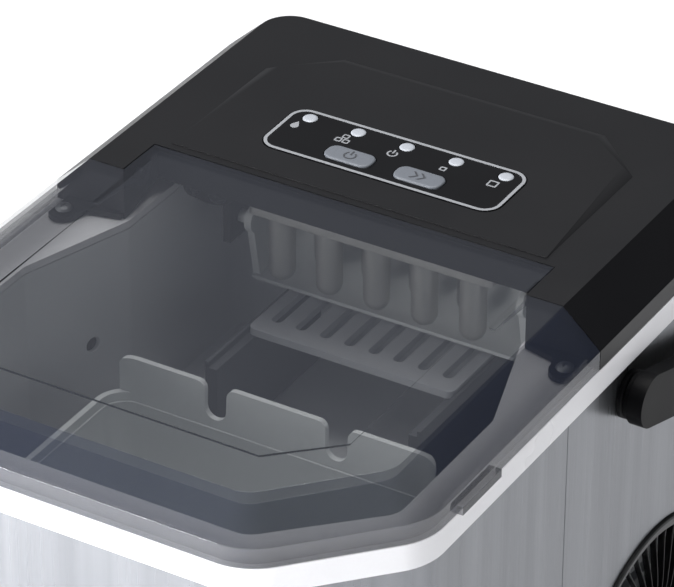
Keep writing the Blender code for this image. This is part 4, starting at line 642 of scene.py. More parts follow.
def buildLid():
    lid = {"wall": 2.6, "edge": 0.7, "sinkWall": 0.3, "sinkSlope": 0.010, "ribWide": 2.4, "ribRound": 4.6,
           "tabLong": 26.0, "tabThick": 3.2,
           "tabOut": 2.4, "tabAhead": 87.0, "endDeep": 2.5, "stepDeep": 4.2, "low": rimTop + touchGap}
    piece = rawPiece("smokeLid", loft(bmesh.new(), shoulderLoops(0.0, topZ, lid["low"])))
    # the ceiling runs parallel to the sunken facet, so the plastic under it keeps its thickness
    ceiling = shoulderLoops(lid["wall"], lambda x, y: facetHeight(x, y) - lid["wall"], rimTop - 5.0)
    combine(piece, loft(bmesh.new(), ceiling))
    flat = facetOutline(0.0, -1)
    combine(piece, loft(bmesh.new(), [raised(facetOutline(lid["sinkWall"], -1),
                                             lambda x, y: topZ + min(0.0,
                                                                     y - seamY + facet["start"])
                                             * lid["sinkSlope"]),
                                      raised(flat, topZ + 0.05), raised(flat, topZ + 6.0)]))
    top = topZ + 20.0
    low = rimTop - 20.0
    half = halfWidth + 10.0
    combine(piece, block(bmesh.new(), (-half, seamY + tabDepth, low), (half, rearY + 40.0, top)))
    for side in (-1, 1):
        near, out = sorted((side * hinge["tabHalf"], side * half))
        combine(piece, block(bmesh.new(), (near, seamY - runGap, low), (out, rearY + 40.0, top)))
        combine(piece, turned(bmesh.new(), [(radius, side * x) for radius, x in earShape()],
                              (0, hingeY, hingeZ), "X",
                              hinge["sweepSteps"]))
    ribs = bmesh.new()
    for side in (-1, 1):
        near, out = sorted((side * (hinge["tabHalf"] - 0.2),
                            side * (hinge["tabHalf"] - 0.2 - lid["ribWide"])))
        outline = [(hingeY + lid["ribRound"] * math.cos(math.pi * (1 + step / 16)),
                    hingeZ + lid["ribRound"] * math.sin(math.pi * (1 + step / 16))) for step in range(17)]
        outline += [(hingeY + lid["ribRound"], topZ - 1.2), (hingeY - 30.0, topZ - 1.2),
                    (hingeY - 30.0, topZ - lid["wall"] - 1.0)]
        prism(ribs, outline, near, out, [circle((hingeY, hingeZ), hinge["pinRadius"] + touchGap, 24)],
              sideways(0.0))
    combine(piece, ribs, "UNION")
    y = seamY - lid["tabAhead"]
    bottom = lid["low"] + 0.2
    tab = block(bmesh.new(), (halfWidth - 2.0, y - lid["tabLong"] / 2, bottom),
                (halfWidth + lid["tabOut"], y + lid["tabLong"] / 2, bottom + lid["tabThick"]))
    combine(piece, tab, "UNION")
    done(piece, finish["smoke"], "lid", ["lid"], lid["edge"], 3, tidy=True)
    # shoulders, ribs and lip get the darker copy, painted shade for the darker room they reflect; the step
    # round the facet and the side tab's outer face get the near-black copy, a painted dark line
    thick, step, end = 1, 2, 3
    for name in ("smokeShadedShoulder", "smokeStepPaintedDark", "smokeEnd"):
        piece.data.materials.append(finish[name])
    for face in piece.data.polygons:
        x, y, z = face.center * 1000
        steep = abs(face.normal.z) < 0.9
        inPan = abs(x) < facet["half"] + 1 and seamY - facet["front"] - 1 < y < seamY - facet["start"] - 6
        if face.normal.y > 0.8 and y > seamY - lid["endDeep"] or abs(face.normal.x) > 0.95 and y > seamY:
            face.material_index = end
        elif steep and inPan and z > topZ - lid["stepDeep"] or x > halfWidth + 1.0 and face.normal.x > 0.5:
            face.material_index = step
        elif steep:
            face.material_index = thick


def earShape():
    # what the cover's ears fill in front of the hinge, as radius and place along it
    half = halfWidth + 5.0
    drop = hinge["belowTop"]
    level = flatHalf + plan["shoulderWide"] * drop / plan["shoulderDrop"]
    corner = math.hypot(hinge["behindSeam"], drop) + runGap
    middle = math.hypot(hinge["behindSeam"], drop / 2) + runGap
    low = hinge["behindSeam"] + runGap
    tab = hinge["tabHalf"]
    return [(0, tab), (corner, tab), (corner, flatHalf), (middle, (flatHalf + level) / 2), (low, level),
            (low, half),
            (0, half)]


store = {"front": 18.0, "side": 16.4, "neckStart": 45.8, "neckHalf": 80.5, "rear": 77.0, "bayDepth": 82.0,
         "deep": 152.0, "deepRear": 8.0, "draft": 2.5, "wall": 2.0}


def mouthCorners(inset):
    x = halfWidth - store["side"] - inset
    front = frontY + store["front"] + inset
    cutX = halfWidth - plan["cutX"] - 10.0 - inset * 0.5
    cutY = frontY + plan["cutY"] + 8.0 + inset * 0.5
    neck = store["neckHalf"] - inset
    start = seamY - store["neckStart"]
    rear = seamY + store["rear"] - inset
    return [(-cutX, front), (cutX, front), (x, cutY), (x, start), (neck, seamY), (neck, rear), (-neck, rear),
            (-neck, seamY), (-x, start), (-x, cutY)]


def mouthOutline(inset, steps=6):
    return rounded(mouthCorners(inset), [9, 9, 9, 6, 6, 8, 8, 6, 6, 9], steps)


def buildRim():
    rim = {"plate": 3.0, "skirtWall": 3.2, "edge": 0.9}
    outer = evenOutline(0.0)
    piece = rawPiece("whiteRim", prism(bmesh.new(), outer, rimTop - rim["plate"], rimTop,
                                       [mouthOutline(0.0)]))
    combine(piece, prism(bmesh.new(), outer, rimBottom, rimTop - 1.0, [evenOutline(rim["skirtWall"])]),
            "UNION",
            "MANIFOLD")
    return done(piece, finish["rimAbs"], "housing", ["top_frame"], rim["edge"], 4, tidy=True)


# Sheet metal, rear panel, base

sheet = {"inset": 1.6, "thick": 1.0, "seamAhead": 18.8, "rearWall": 2.2, "edge": 0.3}


def bandOutline(outerInset, innerInset, keep, start):
    def stretch(inset):
        whole = evenOutline(inset, 20)
        x = halfWidth - inset
        if keep == "front":
            left = sorted((pair for pair in whole if pair[1] < start and pair[0] < 0),
                          key=lambda pair: -pair[1])
            right = sorted((pair for pair in whole if pair[1] < start and pair[0] > 0),
                           key=lambda pair: pair[1])
            return [(-x, start)] + left + right + [(x, start)]
        right = sorted((pair for pair in whole if pair[1] > start and pair[0] > 0), key=lambda pair: pair[1])
        left = sorted((pair for pair in whole if pair[1] > start and pair[0] < 0), key=lambda pair: -pair[1])
        return [(x, start)] + right + left + [(-x, start)]
    return stretch(outerInset) + list(reversed(stretch(innerInset)))


def buildPanels():
    low = baseHigh.z + touchGap
    high = rimBottom - touchGap
    seam = seamY - sheet["seamAhead"]
    inset = sheet["inset"]
    wrap = prism(bmesh.new(), bandOutline(inset, inset + sheet["thick"], "front", seam - touchGap), low, high)
    done(rawPiece("steelFrontWrap", wrap), finish["steel"], "housing", ["front_panel"],
         sheet["edge"], 2)
    rearStart = boxMm("rear_panel")[0].y
    for side, name in ((-1, "left"), (1, "right")):
        ventLow, ventHigh = boxMm("vent_" + name)
        centre = ((ventLow.y + ventHigh.y) / 2, (ventLow.z + ventHigh.z) / 2)
        hole = circle(centre, (ventHigh.z - ventLow.z) / 2 - vent["lap"], 96)
        x = side * (halfWidth - inset) - (sheet["thick"] if side > 0 else 0.0)
        corners = [(seam, low), (rearStart - touchGap, low), (rearStart - touchGap, high), (seam, high)]
        plate = prism(bmesh.new(), corners, 0.0, sheet["thick"], [hole], sideways(x))
        done(rawPiece("steelSide" + name.capitalize(), plate), finish["steel"], "housing",
             ["side_panel_" + name],
             sheet["edge"], 2, tidy=True)
    back = rawPiece("rearPanel",
                    prism(bmesh.new(), bandOutline(inset, inset + sheet["rearWall"], "back", rearStart),
                          low, high))
    slots = bmesh.new()
    ventHeight = centreMm("vent_left").z
    for row in range(5):
        for column in (-1, 0, 1):
            z = ventHeight + 30.0 + row * 11.0 + 2.1
            prism(slots, roundedBox((column * 46.0, z), 38.0, 4.2, 2.05, 5), rearY - 12.0, rearY + 12.0, (),
                  upright)
    inlet = centreMm("mains_inlet")
    prism(slots, roundedBox((inlet.x, inlet.z), 28.0, 21.0, 2.0), rearY - 12.0, rearY + 12.0, (), upright)
    spout = centreMm("drain_spout")
    turned(slots, [(0, -14), (8.0, -14), (8.0, 12), (0, 12)], (spout.x, rearY, spout.z), "Y", 40)
    combine(back, slots)
    done(back, finish["backAbs"], "housing", ["rear_panel"], 0.4, 2, tidy=True)


def buildBase():
    base = {"wall": 2.6, "floor": 3.0, "edge": 1.0}
    outer = evenOutline(sheet["inset"], 12)
    inner = evenOutline(sheet["inset"] + base["wall"], 12)
    low, high = baseLow.z, baseHigh.z
    tray = loft(bmesh.new(), [raised(inner, low + base["floor"]), raised(inner, high), raised(outer, high),
                              raised(outer, low)])
    done(rawPiece("baseTray", tray), finish["backAbs"], "housing", ["base_tray"],
         base["edge"], 3)
    for place in ("front_left", "front_right", "rear_left", "rear_right"):
        foot = centreMm("foot_" + place)
        top = boxMm("foot_" + place)[1].z
        mesh = turned(bmesh.new(), [(0, 0.6), (5, 0.6), (5.6, 0), (9.4, 0), (10.4, 1.0), (11, top - 0.6),
                                    (10.6, top),
                                    (0, top)], (foot.x, foot.y, 0), "Z", 40)
        done(rawPiece("rubberFoot." + place, mesh), finish["rubber"], "housing", ["foot_" + place])


# Side vents

vent = {"ring": 6.7, "lap": 1.6, "blades": 48, "hub": 15.0, "sweep": 34.0, "bladeWide": 1.3, "bladeDeep": 3.0,
        "proud": 1.4}


def buildVents():
    for side, name in ((-1, "left"), (1, "right")):
        node = "vent_" + name
        low, high = boxMm(node)
        centre = ((low.y + high.y) / 2, (low.z + high.z) / 2)
        radius = (high.z - low.z) / 2
        face = side * (halfWidth - sheet["inset"])
        out = radius - vent["lap"] - touchGap
        inner = radius - vent["ring"]
        proud = vent["proud"]
        back = -sheet["thick"] - touchGap - 3.0
        flange = -sheet["thick"] - touchGap
        # flange behind the sheet, then a rim that stands proud and dips in towards the blades
        profile = [(radius, flange - 1.6), (radius, flange), (out, flange), (out, proud - 0.9),
                   (out - 0.3, proud - 0.3),
                   (out - 1.0, proud), (inner + 1.2, proud - 0.5), (inner + 0.3, proud - 0.9),
                   (inner, proud - 1.7),
                   (inner, back), (inner + 2.0, back), (inner + 2.0, flange - 1.6)]
        ring = turned(bmesh.new(), [(r, face + side * x) for r, x in profile], (0, centre[0], centre[1]),
                      "X", 128)
        done(rawPiece("ventRing." + name, ring), finish["ventRing"], "housing", [node],
             sharp=32)
        blades = bmesh.new()
        for index in range(vent["blades"]):
            start = math.tau * index / vent["blades"]
            loops = []
            for step in range(11):
                share = step / 10
                r = vent["hub"] - 1.0 + (inner + 0.6 - vent["hub"] + 1.0) * share
                angle = start - side * math.radians(vent["sweep"]) * (1 - share) ** 1.6
                half = vent["bladeWide"] * (0.32 + 0.18 * share)
                front = face + side * (-1.0 - 1.2 * (1 - share))
                rear = front - side * vent["bladeDeep"]
                lean = side * 0.9
                loop = []
                for across, deep in ((-half, rear), (-half, front - side * 0.35), (-half * 0.4, front),
                                     (half * 0.4, front), (half, front - side * 0.35), (half, rear)):
                    shift = across + lean * (deep - front) / vent["bladeDeep"]
                    y = centre[0] + r * math.cos(angle) - shift * math.sin(angle)
                    z = centre[1] + r * math.sin(angle) + shift * math.cos(angle)
                    loop.append(mm(deep, y, z))
                loops.append(loop)
            loft(blades, loops)
        done(rawPiece("ventBlades." + name, blades), finish["ventAbs"], "housing",
             sharp=50)
        hub = turned(bmesh.new(), [(0, face - side * 1.2), (vent["hub"] * 0.7, face - side * 1.3),
                                   (vent["hub"] - 0.6, face - side * 1.8), (vent["hub"], face - side * 2.6),
                                   (vent["hub"], face - side * 5.0), (0, face - side * 5.0)],
                     (0, centre[0], centre[1]), "X", 64)
        done(rawPiece("ventHub." + name, hub), finish["ventAbs"], "housing")


# Control panel

label = {"width": 98.0, "depth": 30.5, "round": 7.0, "line": 1.25, "top": 0.2}
panelCentre = (-1.5, seamY + 54.0)


def panelPlace(u, v, w):
    # the panel's own u, v and height above the tilted facet
    tilt = Matrix.Rotation(math.atan(facet["slope"]), 3, "X")
    middle = Vector((panelCentre[0], panelCentre[1], facetHeight(0, panelCentre[1])))
    return (tilt @ Vector((u, v, w)) + middle) * 0.001


def buildControlPanel():
    panel = {"lampPitch": 20.4, "lampV": 9.7, "lampRadius": 2.8, "buttonPitch": 28.8, "buttonV": -6.6,
             "buttonWide": 19.4, "buttonDeep": 9.0, "buttonRound": 3.6, "proud": 0.9, "stem": 5.0,
             "ink": 0.06}
    lamps = [((index - 2) * panel["lampPitch"], panel["lampV"]) for index in range(5)]
    keys = [("power_button", (-panel["buttonPitch"] / 2, panel["buttonV"])),
            ("select_button", (panel["buttonPitch"] / 2, panel["buttonV"]))]
    holes = [circle(place, panel["lampRadius"] + touchGap, 32) for place in lamps]
    holes += [roundedBox(place, panel["buttonWide"] + 2 * runGap, panel["buttonDeep"] + 2 * runGap,
                         panel["buttonRound"] + runGap) for _, place in keys]
    film = prism(bmesh.new(), roundedBox((0, 0), label["width"], label["depth"], label["round"], 10),
                 label["top"] - 0.7, label["top"], holes, panelPlace)
    done(rawPiece("overlayFilm", film), finish["overlay"], "housing", ["panel_label"])

    top = label["top"]
    ink = bmesh.new()
    prism(ink, roundedBox((0, 0), label["width"] - 0.6, label["depth"] - 0.6, label["round"] - 0.3, 12), top,
          top + panel["ink"], [roundedBox((0, 0), label["width"] - 0.6 - 2 * label["line"],
                                          label["depth"] - 0.6 - 2 * label["line"],
                                          label["round"] - 0.3 - label["line"], 12)],
          panelPlace)
    signs = [dropSign, pileSign, plugSign, smallCubeSign, largeCubeSign]
    for place, sign in zip(lamps, signs):
        for outline, inner in sign((place[0] - 2.4, place[1] - 6.6)):
            prism(ink, outline, top, top + panel["ink"], inner, panelPlace)
    done(rawPiece("printedMarks", ink), finish["ink"], "housing")
    for number, place in enumerate(lamps, 1):
        node = f"lamp_{number}"
        lens = bmesh.new()
        loops = []
        for radius, height in ((panel["lampRadius"], -6.0), (panel["lampRadius"], 0.2),
                               (panel["lampRadius"] - 0.25, 0.42),
                               (panel["lampRadius"] - 0.9, 0.5), (0.6, 0.55)):
            loops.append([panelPlace(u, v, height) for u, v in circle(place, radius, 32)])
        done(rawPiece(f"lampLens.{number}", loft(lens, loops)), finish["lens"], "housing", [node])
    for name, place in keys:
        loops = []
        for inset, height in ((0.0, panel["proud"] - panel["stem"]), (0.0, panel["proud"] - 0.55),
                              (0.22, panel["proud"] - 0.18),
                              (0.7, panel["proud"] - 0.02), (2.6, panel["proud"] - 0.1)):
            outline = roundedBox(place, panel["buttonWide"] - 2 * inset, panel["buttonDeep"] - 2 * inset,
                                 panel["buttonRound"] - inset, 10)
            loops.append([panelPlace(u, v, height) for u, v in outline])
        done(rawPiece(name + ".cap", loft(bmesh.new(), loops)), finish["button"], name, [name],
             sharp=50)
        marks = bmesh.new()
        sign = standbySign if name == "power_button" else stepSign
        for outline, inner in sign(place):
            prism(marks, outline, panel["proud"] - 0.12, panel["proud"] + 0.0, inner, panelPlace)
        done(rawPiece(name + ".mark", marks), finish["inkDark"], name)


def at(place, outline):
    return [(place[0] + u, place[1] + v) for u, v in outline]


def frameSign(place, size, line):
    return [(at(place, roundedBox((0, 0), size, size, 0.5, 3)), [at(place, roundedBox((0, 0), size - 2 * line,
                                                                                      size - 2 * line, 0.2,
                                                                                      3))])]


def dropSign(place):
    outline = [(0, 2.6)] + [(1.6 * math.cos(math.radians(a)), 1.6 * math.sin(math.radians(a)) - 0.7)
                            for a in range(150, 391, 20)]
    return [(at(place, outline), [])]


def pileSign(place):
    return [entry for u, v in ((-1.55, -1.1), (1.55, -1.1), (0, 1.9))
            for entry in frameSign((place[0] + u, place[1] + v), 2.7, 0.55)]


def plugSign(place):
    arc = [(2.1 * math.cos(math.radians(a)), 2.1 * math.sin(math.radians(a))) for a in range(125, 416, 15)]
    arc += [(1.45 * math.cos(math.radians(a)), 1.45 * math.sin(math.radians(a))) for a in range(415, 124,
                                                                                                -15)]
    return [(at(place, arc), []), (at(place, [(-0.35, 0.2), (0.35, 0.2), (0.35, 2.6), (-0.35, 2.6)]), [])]


def smallCubeSign(place):
    return frameSign((place[0] + 0.6, place[1]), 2.6, 0.6)


def largeCubeSign(place):
    return frameSign((place[0] + 0.6, place[1]), 4.0, 0.65)


def standbySign(place):
    arc = [(2.5 * math.cos(math.radians(a)), 2.5 * math.sin(math.radians(a))) for a in range(125, 416, 10)]
    arc += [(1.85 * math.cos(math.radians(a)), 1.85 * math.sin(math.radians(a))) for a in range(415, 124,
                                                                                                -10)]
    return [(at(place, arc), []), (at(place, [(-0.35, 0.4), (0.35, 0.4), (0.35, 3.1), (-0.35, 3.1)]), [])]


def stepSign(place):
    arrow = [(-2.0, -2.2), (-1.1, -2.2), (1.0, 0.0), (-1.1, 2.2), (-2.0, 2.2), (0.1, 0.0)]
    return [(at((place[0] + shift, place[1]), arrow), []) for shift in (-1.4, 1.6)]


# Ice store

def storeOutline(inset, draft, steps=6):
    x = halfWidth - store["side"] - inset - draft
    front = frontY + store["front"] + inset + draft
    cutX = halfWidth - plan["cutX"] - 10.0 - inset * 0.5 - draft * 0.5
    cutY = frontY + plan["cutY"] + 8.0 + inset * 0.5 + draft * 0.5
    rear = seamY - store["deepRear"] - inset - draft
    neck = store["neckHalf"] - inset - draft
    start = seamY - store["neckStart"]
    step = (x - neck) * (rear - start) / store["neckStart"]
    corners = [(-cutX, front), (cutX, front), (x, cutY), (x, start), (x - step, rear), (-x + step, rear),
               (-x, start),
               (-x, cutY)]
    return rounded(corners, [9, 9, 9, 6, 7, 7, 6, 9], steps)


def buildTub():
    tub = {"wall": store["wall"], "sensorHole": 2.9, "restInset": 22.0, "restWide": 4.0, "edge": 0.5}
    wall = tub["wall"]
    top = boxMm("ice_tub")[1].z
    basketLow, basketHigh = boxMm("ice_basket")
    piece = rawPiece("iceTub", prism(bmesh.new(), mouthOutline(-wall), top - store["bayDepth"], top))
    deep = loft(bmesh.new(), [raised(storeOutline(-wall, store["draft"]), top - store["deep"]),
                              raised(storeOutline(-wall, 0.0), top - 20.0)])
    combine(piece, deep, "UNION")
    combine(piece, prism(bmesh.new(), mouthOutline(0.0), top - store["bayDepth"] + wall, top + 5.0))
    space = loft(bmesh.new(), [raised(storeOutline(4.0, store["draft"]), top - store["deep"] + wall),
                               raised(storeOutline(0.0, store["draft"]), top - store["deep"] + wall + 4.0),
                               raised(storeOutline(0.0, 0.0), top - 18.0)])
    combine(piece, space)
    # hole in the left wall where the cold-air sensor looks in
    hole = turned(bmesh.new(), [(0, -halfWidth), (tub["sensorHole"], -halfWidth), (tub["sensorHole"], -70.0),
                                (0, -70.0)],
                  (0, seamY - 17.0, topZ - 67.0), "X", 32)
    combine(piece, hole)
    rests = bmesh.new()
    for side in (-1, 1):
        x = side * (basketHigh.x - tub["restInset"])
        block(rests, (x - tub["restWide"] / 2, basketLow.y + tub["restInset"],
                      top - store["deep"] + wall / 2),
              (x + tub["restWide"] / 2, basketHigh.y - tub["restInset"], basketLow.z - touchGap))
    combine(piece, rests, "UNION")
    done(piece, finish["tubPp"], "housing", ["ice_tub"], tub["edge"], 2, tidy=True)


def buildBasket():
    basket = {"wall": 2.2, "taper": 5.0, "notchWide": 9.0, "notchPitch": 50.0, "notchDeep": 14.0,
              "notchRound": 3.4,
              "bead": 0.5, "edge": 0.6}
    low, high = boxMm("ice_basket")
    half = high.x
    centre = (0.0, (low.y + high.y) / 2)
    depth = high.y - low.y
    taper, wall = basket["taper"], basket["wall"]
    outside = [raised(roundedBox(centre, 2 * (half - taper) - 3, depth - 2 * taper - 3, 8.5, 10), low.z),
               raised(roundedBox(centre, 2 * (half - taper), depth - 2 * taper, 10.0, 10), low.z + 1.5),
               raised(roundedBox(centre, 2 * half, depth, 12.0, 10), high.z)]
    inside = [raised(roundedBox(centre, 2 * (half - taper - wall) - 4, depth - 2 * (taper + wall) - 4, 7.0,
                                10),
                     low.z + wall),
              raised(roundedBox(centre, 2 * (half - taper - wall), depth - 2 * (taper + wall), 8.0, 10),
                     low.z + wall + 2),
              raised(roundedBox(centre, 2 * (half - wall), depth - 2 * wall, 10.0, 10), high.z + 0.5)]
    piece = rawPiece("iceBasket", loft(bmesh.new(), outside))
    combine(piece, loft(bmesh.new(), inside))
    cuts = bmesh.new()
    r = basket["notchRound"]
    notchHalf = basket["notchWide"] / 2
    floor = high.z - basket["notchDeep"]
    for side in (-1, 1):
        x = side * basket["notchPitch"] / 2
        # notch with a round bottom, whose lips curve out into the top edge
        outline = [(x + notchHalf * math.cos(a), floor + notchHalf + notchHalf * math.sin(a))
                   for a in [math.pi + math.pi * step / 12 for step in range(13)]]
        outline += [(x + notchHalf + r - r * math.cos(a), high.z - r + r * math.sin(a))
                    for a in [math.pi / 2 * step / 6 for step in range(7)]]
        outline += [(x + notchHalf + r, high.z + 6), (x - notchHalf - r, high.z + 6)]
        outline += [(x - notchHalf - r + r * math.cos(a), high.z - r + r * math.sin(a))
                    for a in [math.pi / 2 * step / 6 for step in range(6, -1, -1)]]
        prism(cuts, outline, high.y - 9.0, high.y + 3.0, (), upright)
    for column in range(-3, 4):
        prism(cuts, roundedBox((column * 16.0, centre[1]), 4.0, depth - 48.0, 1.95, 5), low.z - 5.0,
              low.z + 6.0)
    combine(piece, cuts)
    # only the rear wall keeps its full height, as three tabs with round outer corners
    combine(piece, block(bmesh.new(), (-half - 5, low.y - 5, floor),
                         (half + 5, high.y - wall - 1.2, high.z + 5)))
    ends = bmesh.new()
    for side in (-1, 1):
        x = side * (half - 5.0)
        corner = [(x - side * r + side * r * math.sin(a), high.z - r + r * math.cos(a))
                  for a in [math.pi / 2 * step / 6 for step in range(7)]]
        outline = corner + [(x, floor), (x + side * 12.0, floor), (x + side * 12.0, high.z + 5),
                            (x - side * r, high.z + 5)]
        prism(ends, outline, high.y - wall - 2.0, high.y + 3.0, (), upright)
    combine(piece, ends)
    # beads that stiffen the walls below the notches
    beads = bmesh.new()
    z = floor - 4.0
    share = (z - low.z) / (high.z - low.z)
    shrink = taper * (1 - share)
    loops = []
    for out, up in ((-0.6, -0.9), (basket["bead"], -0.35), (basket["bead"], 0.35), (-0.6, 0.9)):
        loops.append(raised(roundedBox(centre, 2 * (half - shrink - wall) - 2 * out,
                                       depth - 2 * (shrink + wall) - 2 * out,
                                       9.0, 10), z + up))
    inner = [raised(roundedBox(centre, 2 * (half - shrink - wall) + 1.2, depth - 2 * (shrink + wall) + 1.2,
                               10.0, 10),
                    z + up) for up in (0.9, -0.9)]
    loft(beads, loops + inner, closed=True)
    combine(piece, beads, "UNION")
    done(piece, finish["basketPp"], "basket", ["ice_basket"], basket["edge"], 2, tidy=True)


# Ice making

def buildShovel():
    shovel = {"slots": 8, "pitch": 10.3, "slotWide": 4.4, "slotLong": 28.0, "edge": 0.5}
    low, high = boxMm("ice_shovel")
    slots = []
    for index in range(shovel["slots"]):
        x = (index - (shovel["slots"] - 1) / 2) * shovel["pitch"]
        slots.append(roundedBox((x, low.y + 8.0 + shovel["slotLong"] / 2), shovel["slotWide"],
                                shovel["slotLong"],
                                shovel["slotWide"] / 2 - 0.05, 8))
    outline = roundedBox((0, (low.y + high.y) / 2), high.x - low.x, high.y - low.y, 3.0, 8)
    done(rawPiece("iceShovel", prism(bmesh.new(), outline, low.z, high.z, slots)), finish["shovelAbs"],
         "shovel",
         ["ice_shovel"], shovel["edge"], 2, tidy=True)
    for side in ("left", "right"):
        railLow, railHigh = boxMm("shovel_rail_" + side)
        sign = 1 if side == "right" else -1
        under = sign * (high.x - 3.0)
        edgeX = sign * (high.x + runGap)
        far = sign * max(abs(railLow.x), abs(railHigh.x))
        corners = [(under, railLow.z), (far, railLow.z), (far, railHigh.z), (edgeX, railHigh.z),
                   (edgeX, low.z - runGap), (under, low.z - runGap)]
        done(rawPiece("shovelRail." + side, prism(bmesh.new(), corners, railLow.y, railHigh.y, (), upright)),
             finish["railAbsPaintedShade"], "housing", ["shovel_rail_" + side], 0.3, 2)


def buildEvaporator():
    evaporator = {"fingerRadius": 5.0, "pitch": 20.0, "row": 8.0, "plate": 7.0, "edge": 0.8}
    low, high = boxMm("evaporator")
    y = (low.y + high.y) / 2
    plateLow = high.z - evaporator["plate"]
    piece = rawPiece("evaporator.body",
                     prism(bmesh.new(), roundedBox((0, y), high.x - low.x, high.y - low.y, 3.0, 5),
                           plateLow, high.z))
    fingers = bmesh.new()
    r = evaporator["fingerRadius"]
    tip = [(r * math.sin(math.radians(a)), r * (1 - math.cos(math.radians(a)))) for a in range(0, 91, 15)]
    for row, count in ((-1, 5), (1, 4)):
        for index in range(count):
            x = (index - (count - 1) / 2) * evaporator["pitch"]
            turned(fingers, tip + [(r, plateLow - low.z - 1.5), (r + 1.2, plateLow - low.z + 1.0),
                                   (0, plateLow - low.z + 1.0)],
                   (x, y + row * evaporator["row"], low.z), "Z", 32)
    combine(piece, fingers, "UNION")
    done(piece, finish["nickel"], "housing", ["evaporator"], evaporator["edge"], 3, tidy=True)

    strapLow, strapHigh = boxMm("evaporator_bracket")
    thick = 2.0
    corners = [(strapLow.x, strapLow.z), (strapLow.x + thick, strapLow.z),
               (strapLow.x + thick, strapHigh.z - thick),
               (strapHigh.x - thick, strapHigh.z - thick), (strapHigh.x - thick, strapLow.z),
               (strapHigh.x, strapLow.z), (strapHigh.x, strapHigh.z), (strapLow.x, strapHigh.z)]
    strap = prism(bmesh.new(), corners, strapLow.y, strapHigh.y, (), upright)
    done(rawPiece("hangerStrap", strap), finish["zinc"], "housing", ["evaporator_bracket"],
         0.8, 3)


def buildTrough():
    trough = {"radius": 24.5, "wall": 1.5, "span": 120.0, "stub": 2.5, "stubLong": 8.0, "edge": 0.4}
    joint = next(entry for entry in frame["joints"] if entry["name"] == "trough_tilt")
    axisY, axisZ = (value * 1000 for value in joint["pos_m"][1:])
    high = boxMm("water_trough")[1]
    half = high.x - trough["stubLong"]
    outer = trough["radius"] + trough["wall"]
    start = math.radians(-90.0)
    span = math.radians(trough["span"])
    steps = 32

    def arc(radius, first, last):
        return [(axisY + radius * math.cos(start + span * step / steps),
                 axisZ + radius * math.sin(start + span * step / steps)) for step in range(first, last + 1)]

    piece = rawPiece("waterTrough",
                     prism(bmesh.new(), arc(outer, 0,
                                            steps) + list(reversed(arc(trough["radius"], 0, steps))),
                           -half, half, (), sideways(0.0)))
    ends = bmesh.new()
    for side in (-1, 1):
        near, far = sorted((side * (half - 2.5), side * (half + 0.5)))
        blade = [(axisY + 5.0 * math.cos(math.radians(a)), axisZ + 5.0 * math.sin(math.radians(a)))
                 for a in range(60, 241, 15)]
        rim = [(axisY + (y - axisY) * (outer - 0.4) / outer, axisZ + (z - axisZ) * (outer - 0.4) / outer)
               for y, z in arc(outer, 1, steps - 1)]
        prism(ends, blade + rim, near, far, (), sideways(0.0))
    combine(piece, ends, "UNION")
    stubs = bmesh.new()
    for side in (-1, 1):
        first, last = sorted((side * (half - 0.5), side * (half + trough["stubLong"])))
        r = trough["stub"]
        turned(stubs, [(0, first), (r, first), (r, last), (0, last)], (0, axisY, axisZ), "X", 32)
    combine(piece, stubs, "UNION", "MANIFOLD")
    done(piece, finish["basketPp"], "trough", ["water_trough"], trough["edge"], 2, tidy=True)

    # geared motor: ribbed case
    motorLow, motorHigh = boxMm("trough_motor")
    middle = ((motorLow.y + motorHigh.y) / 2, (motorLow.z + motorHigh.z) / 2)
    case = roundedBox(middle, motorHigh.y - motorLow.y, motorHigh.z - motorLow.z, 2.5, 6)
    slim = roundedBox(middle, motorHigh.y - motorLow.y - 1.6, motorHigh.z - motorLow.z - 1.6, 1.8, 6)
    loops = []
    third = (motorHigh.x - motorLow.x) / 3
    for outline, x in ((slim, motorLow.x), (case, motorLow.x + 0.8), (case, motorLow.x + third),
                       (slim, motorLow.x + third + 0.5), (slim, motorLow.x + 2 * third),
                       (case, motorLow.x + 2 * third + 0.5),
                       (case, motorHigh.x - 0.8), (slim, motorHigh.x)):
        loops.append([mm(x, y, z) for y, z in outline])
    done(rawPiece("gearedMotor", loft(bmesh.new(), loops)), finish["zinc"], "housing", ["trough_motor"],
         sharp=50)


def buildSensor():
    sensor = {"domeRadius": 4.3, "domePitch": 10.4, "recess": 4.4, "round": 7.5, "edge": 0.5}
    low, high = boxMm("ice_sensor")
    x = (low.x + high.x) / 2
    half = (high.x - low.x) / 2
    drop = sensor["round"]
    outline = [(x + half * math.cos(a), low.z + drop + drop * math.sin(a))
               for a in [math.pi + math.pi * step / 24 for step in range(25)]]
    outline += [(high.x, high.z), (low.x, high.z)]
    done(rawPiece("iceSensor.body", prism(bmesh.new(), outline, low.y + sensor["recess"], high.y, (),
                                          upright)),
         finish["coverAbs"], "housing", ["ice_sensor"], sensor["edge"], 2)
    eyes = bmesh.new()
    for side in (-1, 1):
        r = sensor["domeRadius"]
        bulge = [(r * math.sin(math.radians(a)), r - r * math.cos(math.radians(a))) for a in range(0, 91, 9)]
        turned(eyes, bulge + [(r, sensor["recess"] + 0.4), (0, sensor["recess"] + 0.4)],
               (x + side * sensor["domePitch"] / 2, low.y, low.z + drop - 1.0), "Y", 40)
    done(rawPiece("iceSensor.eyes", eyes), finish["dome"], "housing", sharp=60)


# Carrying bail

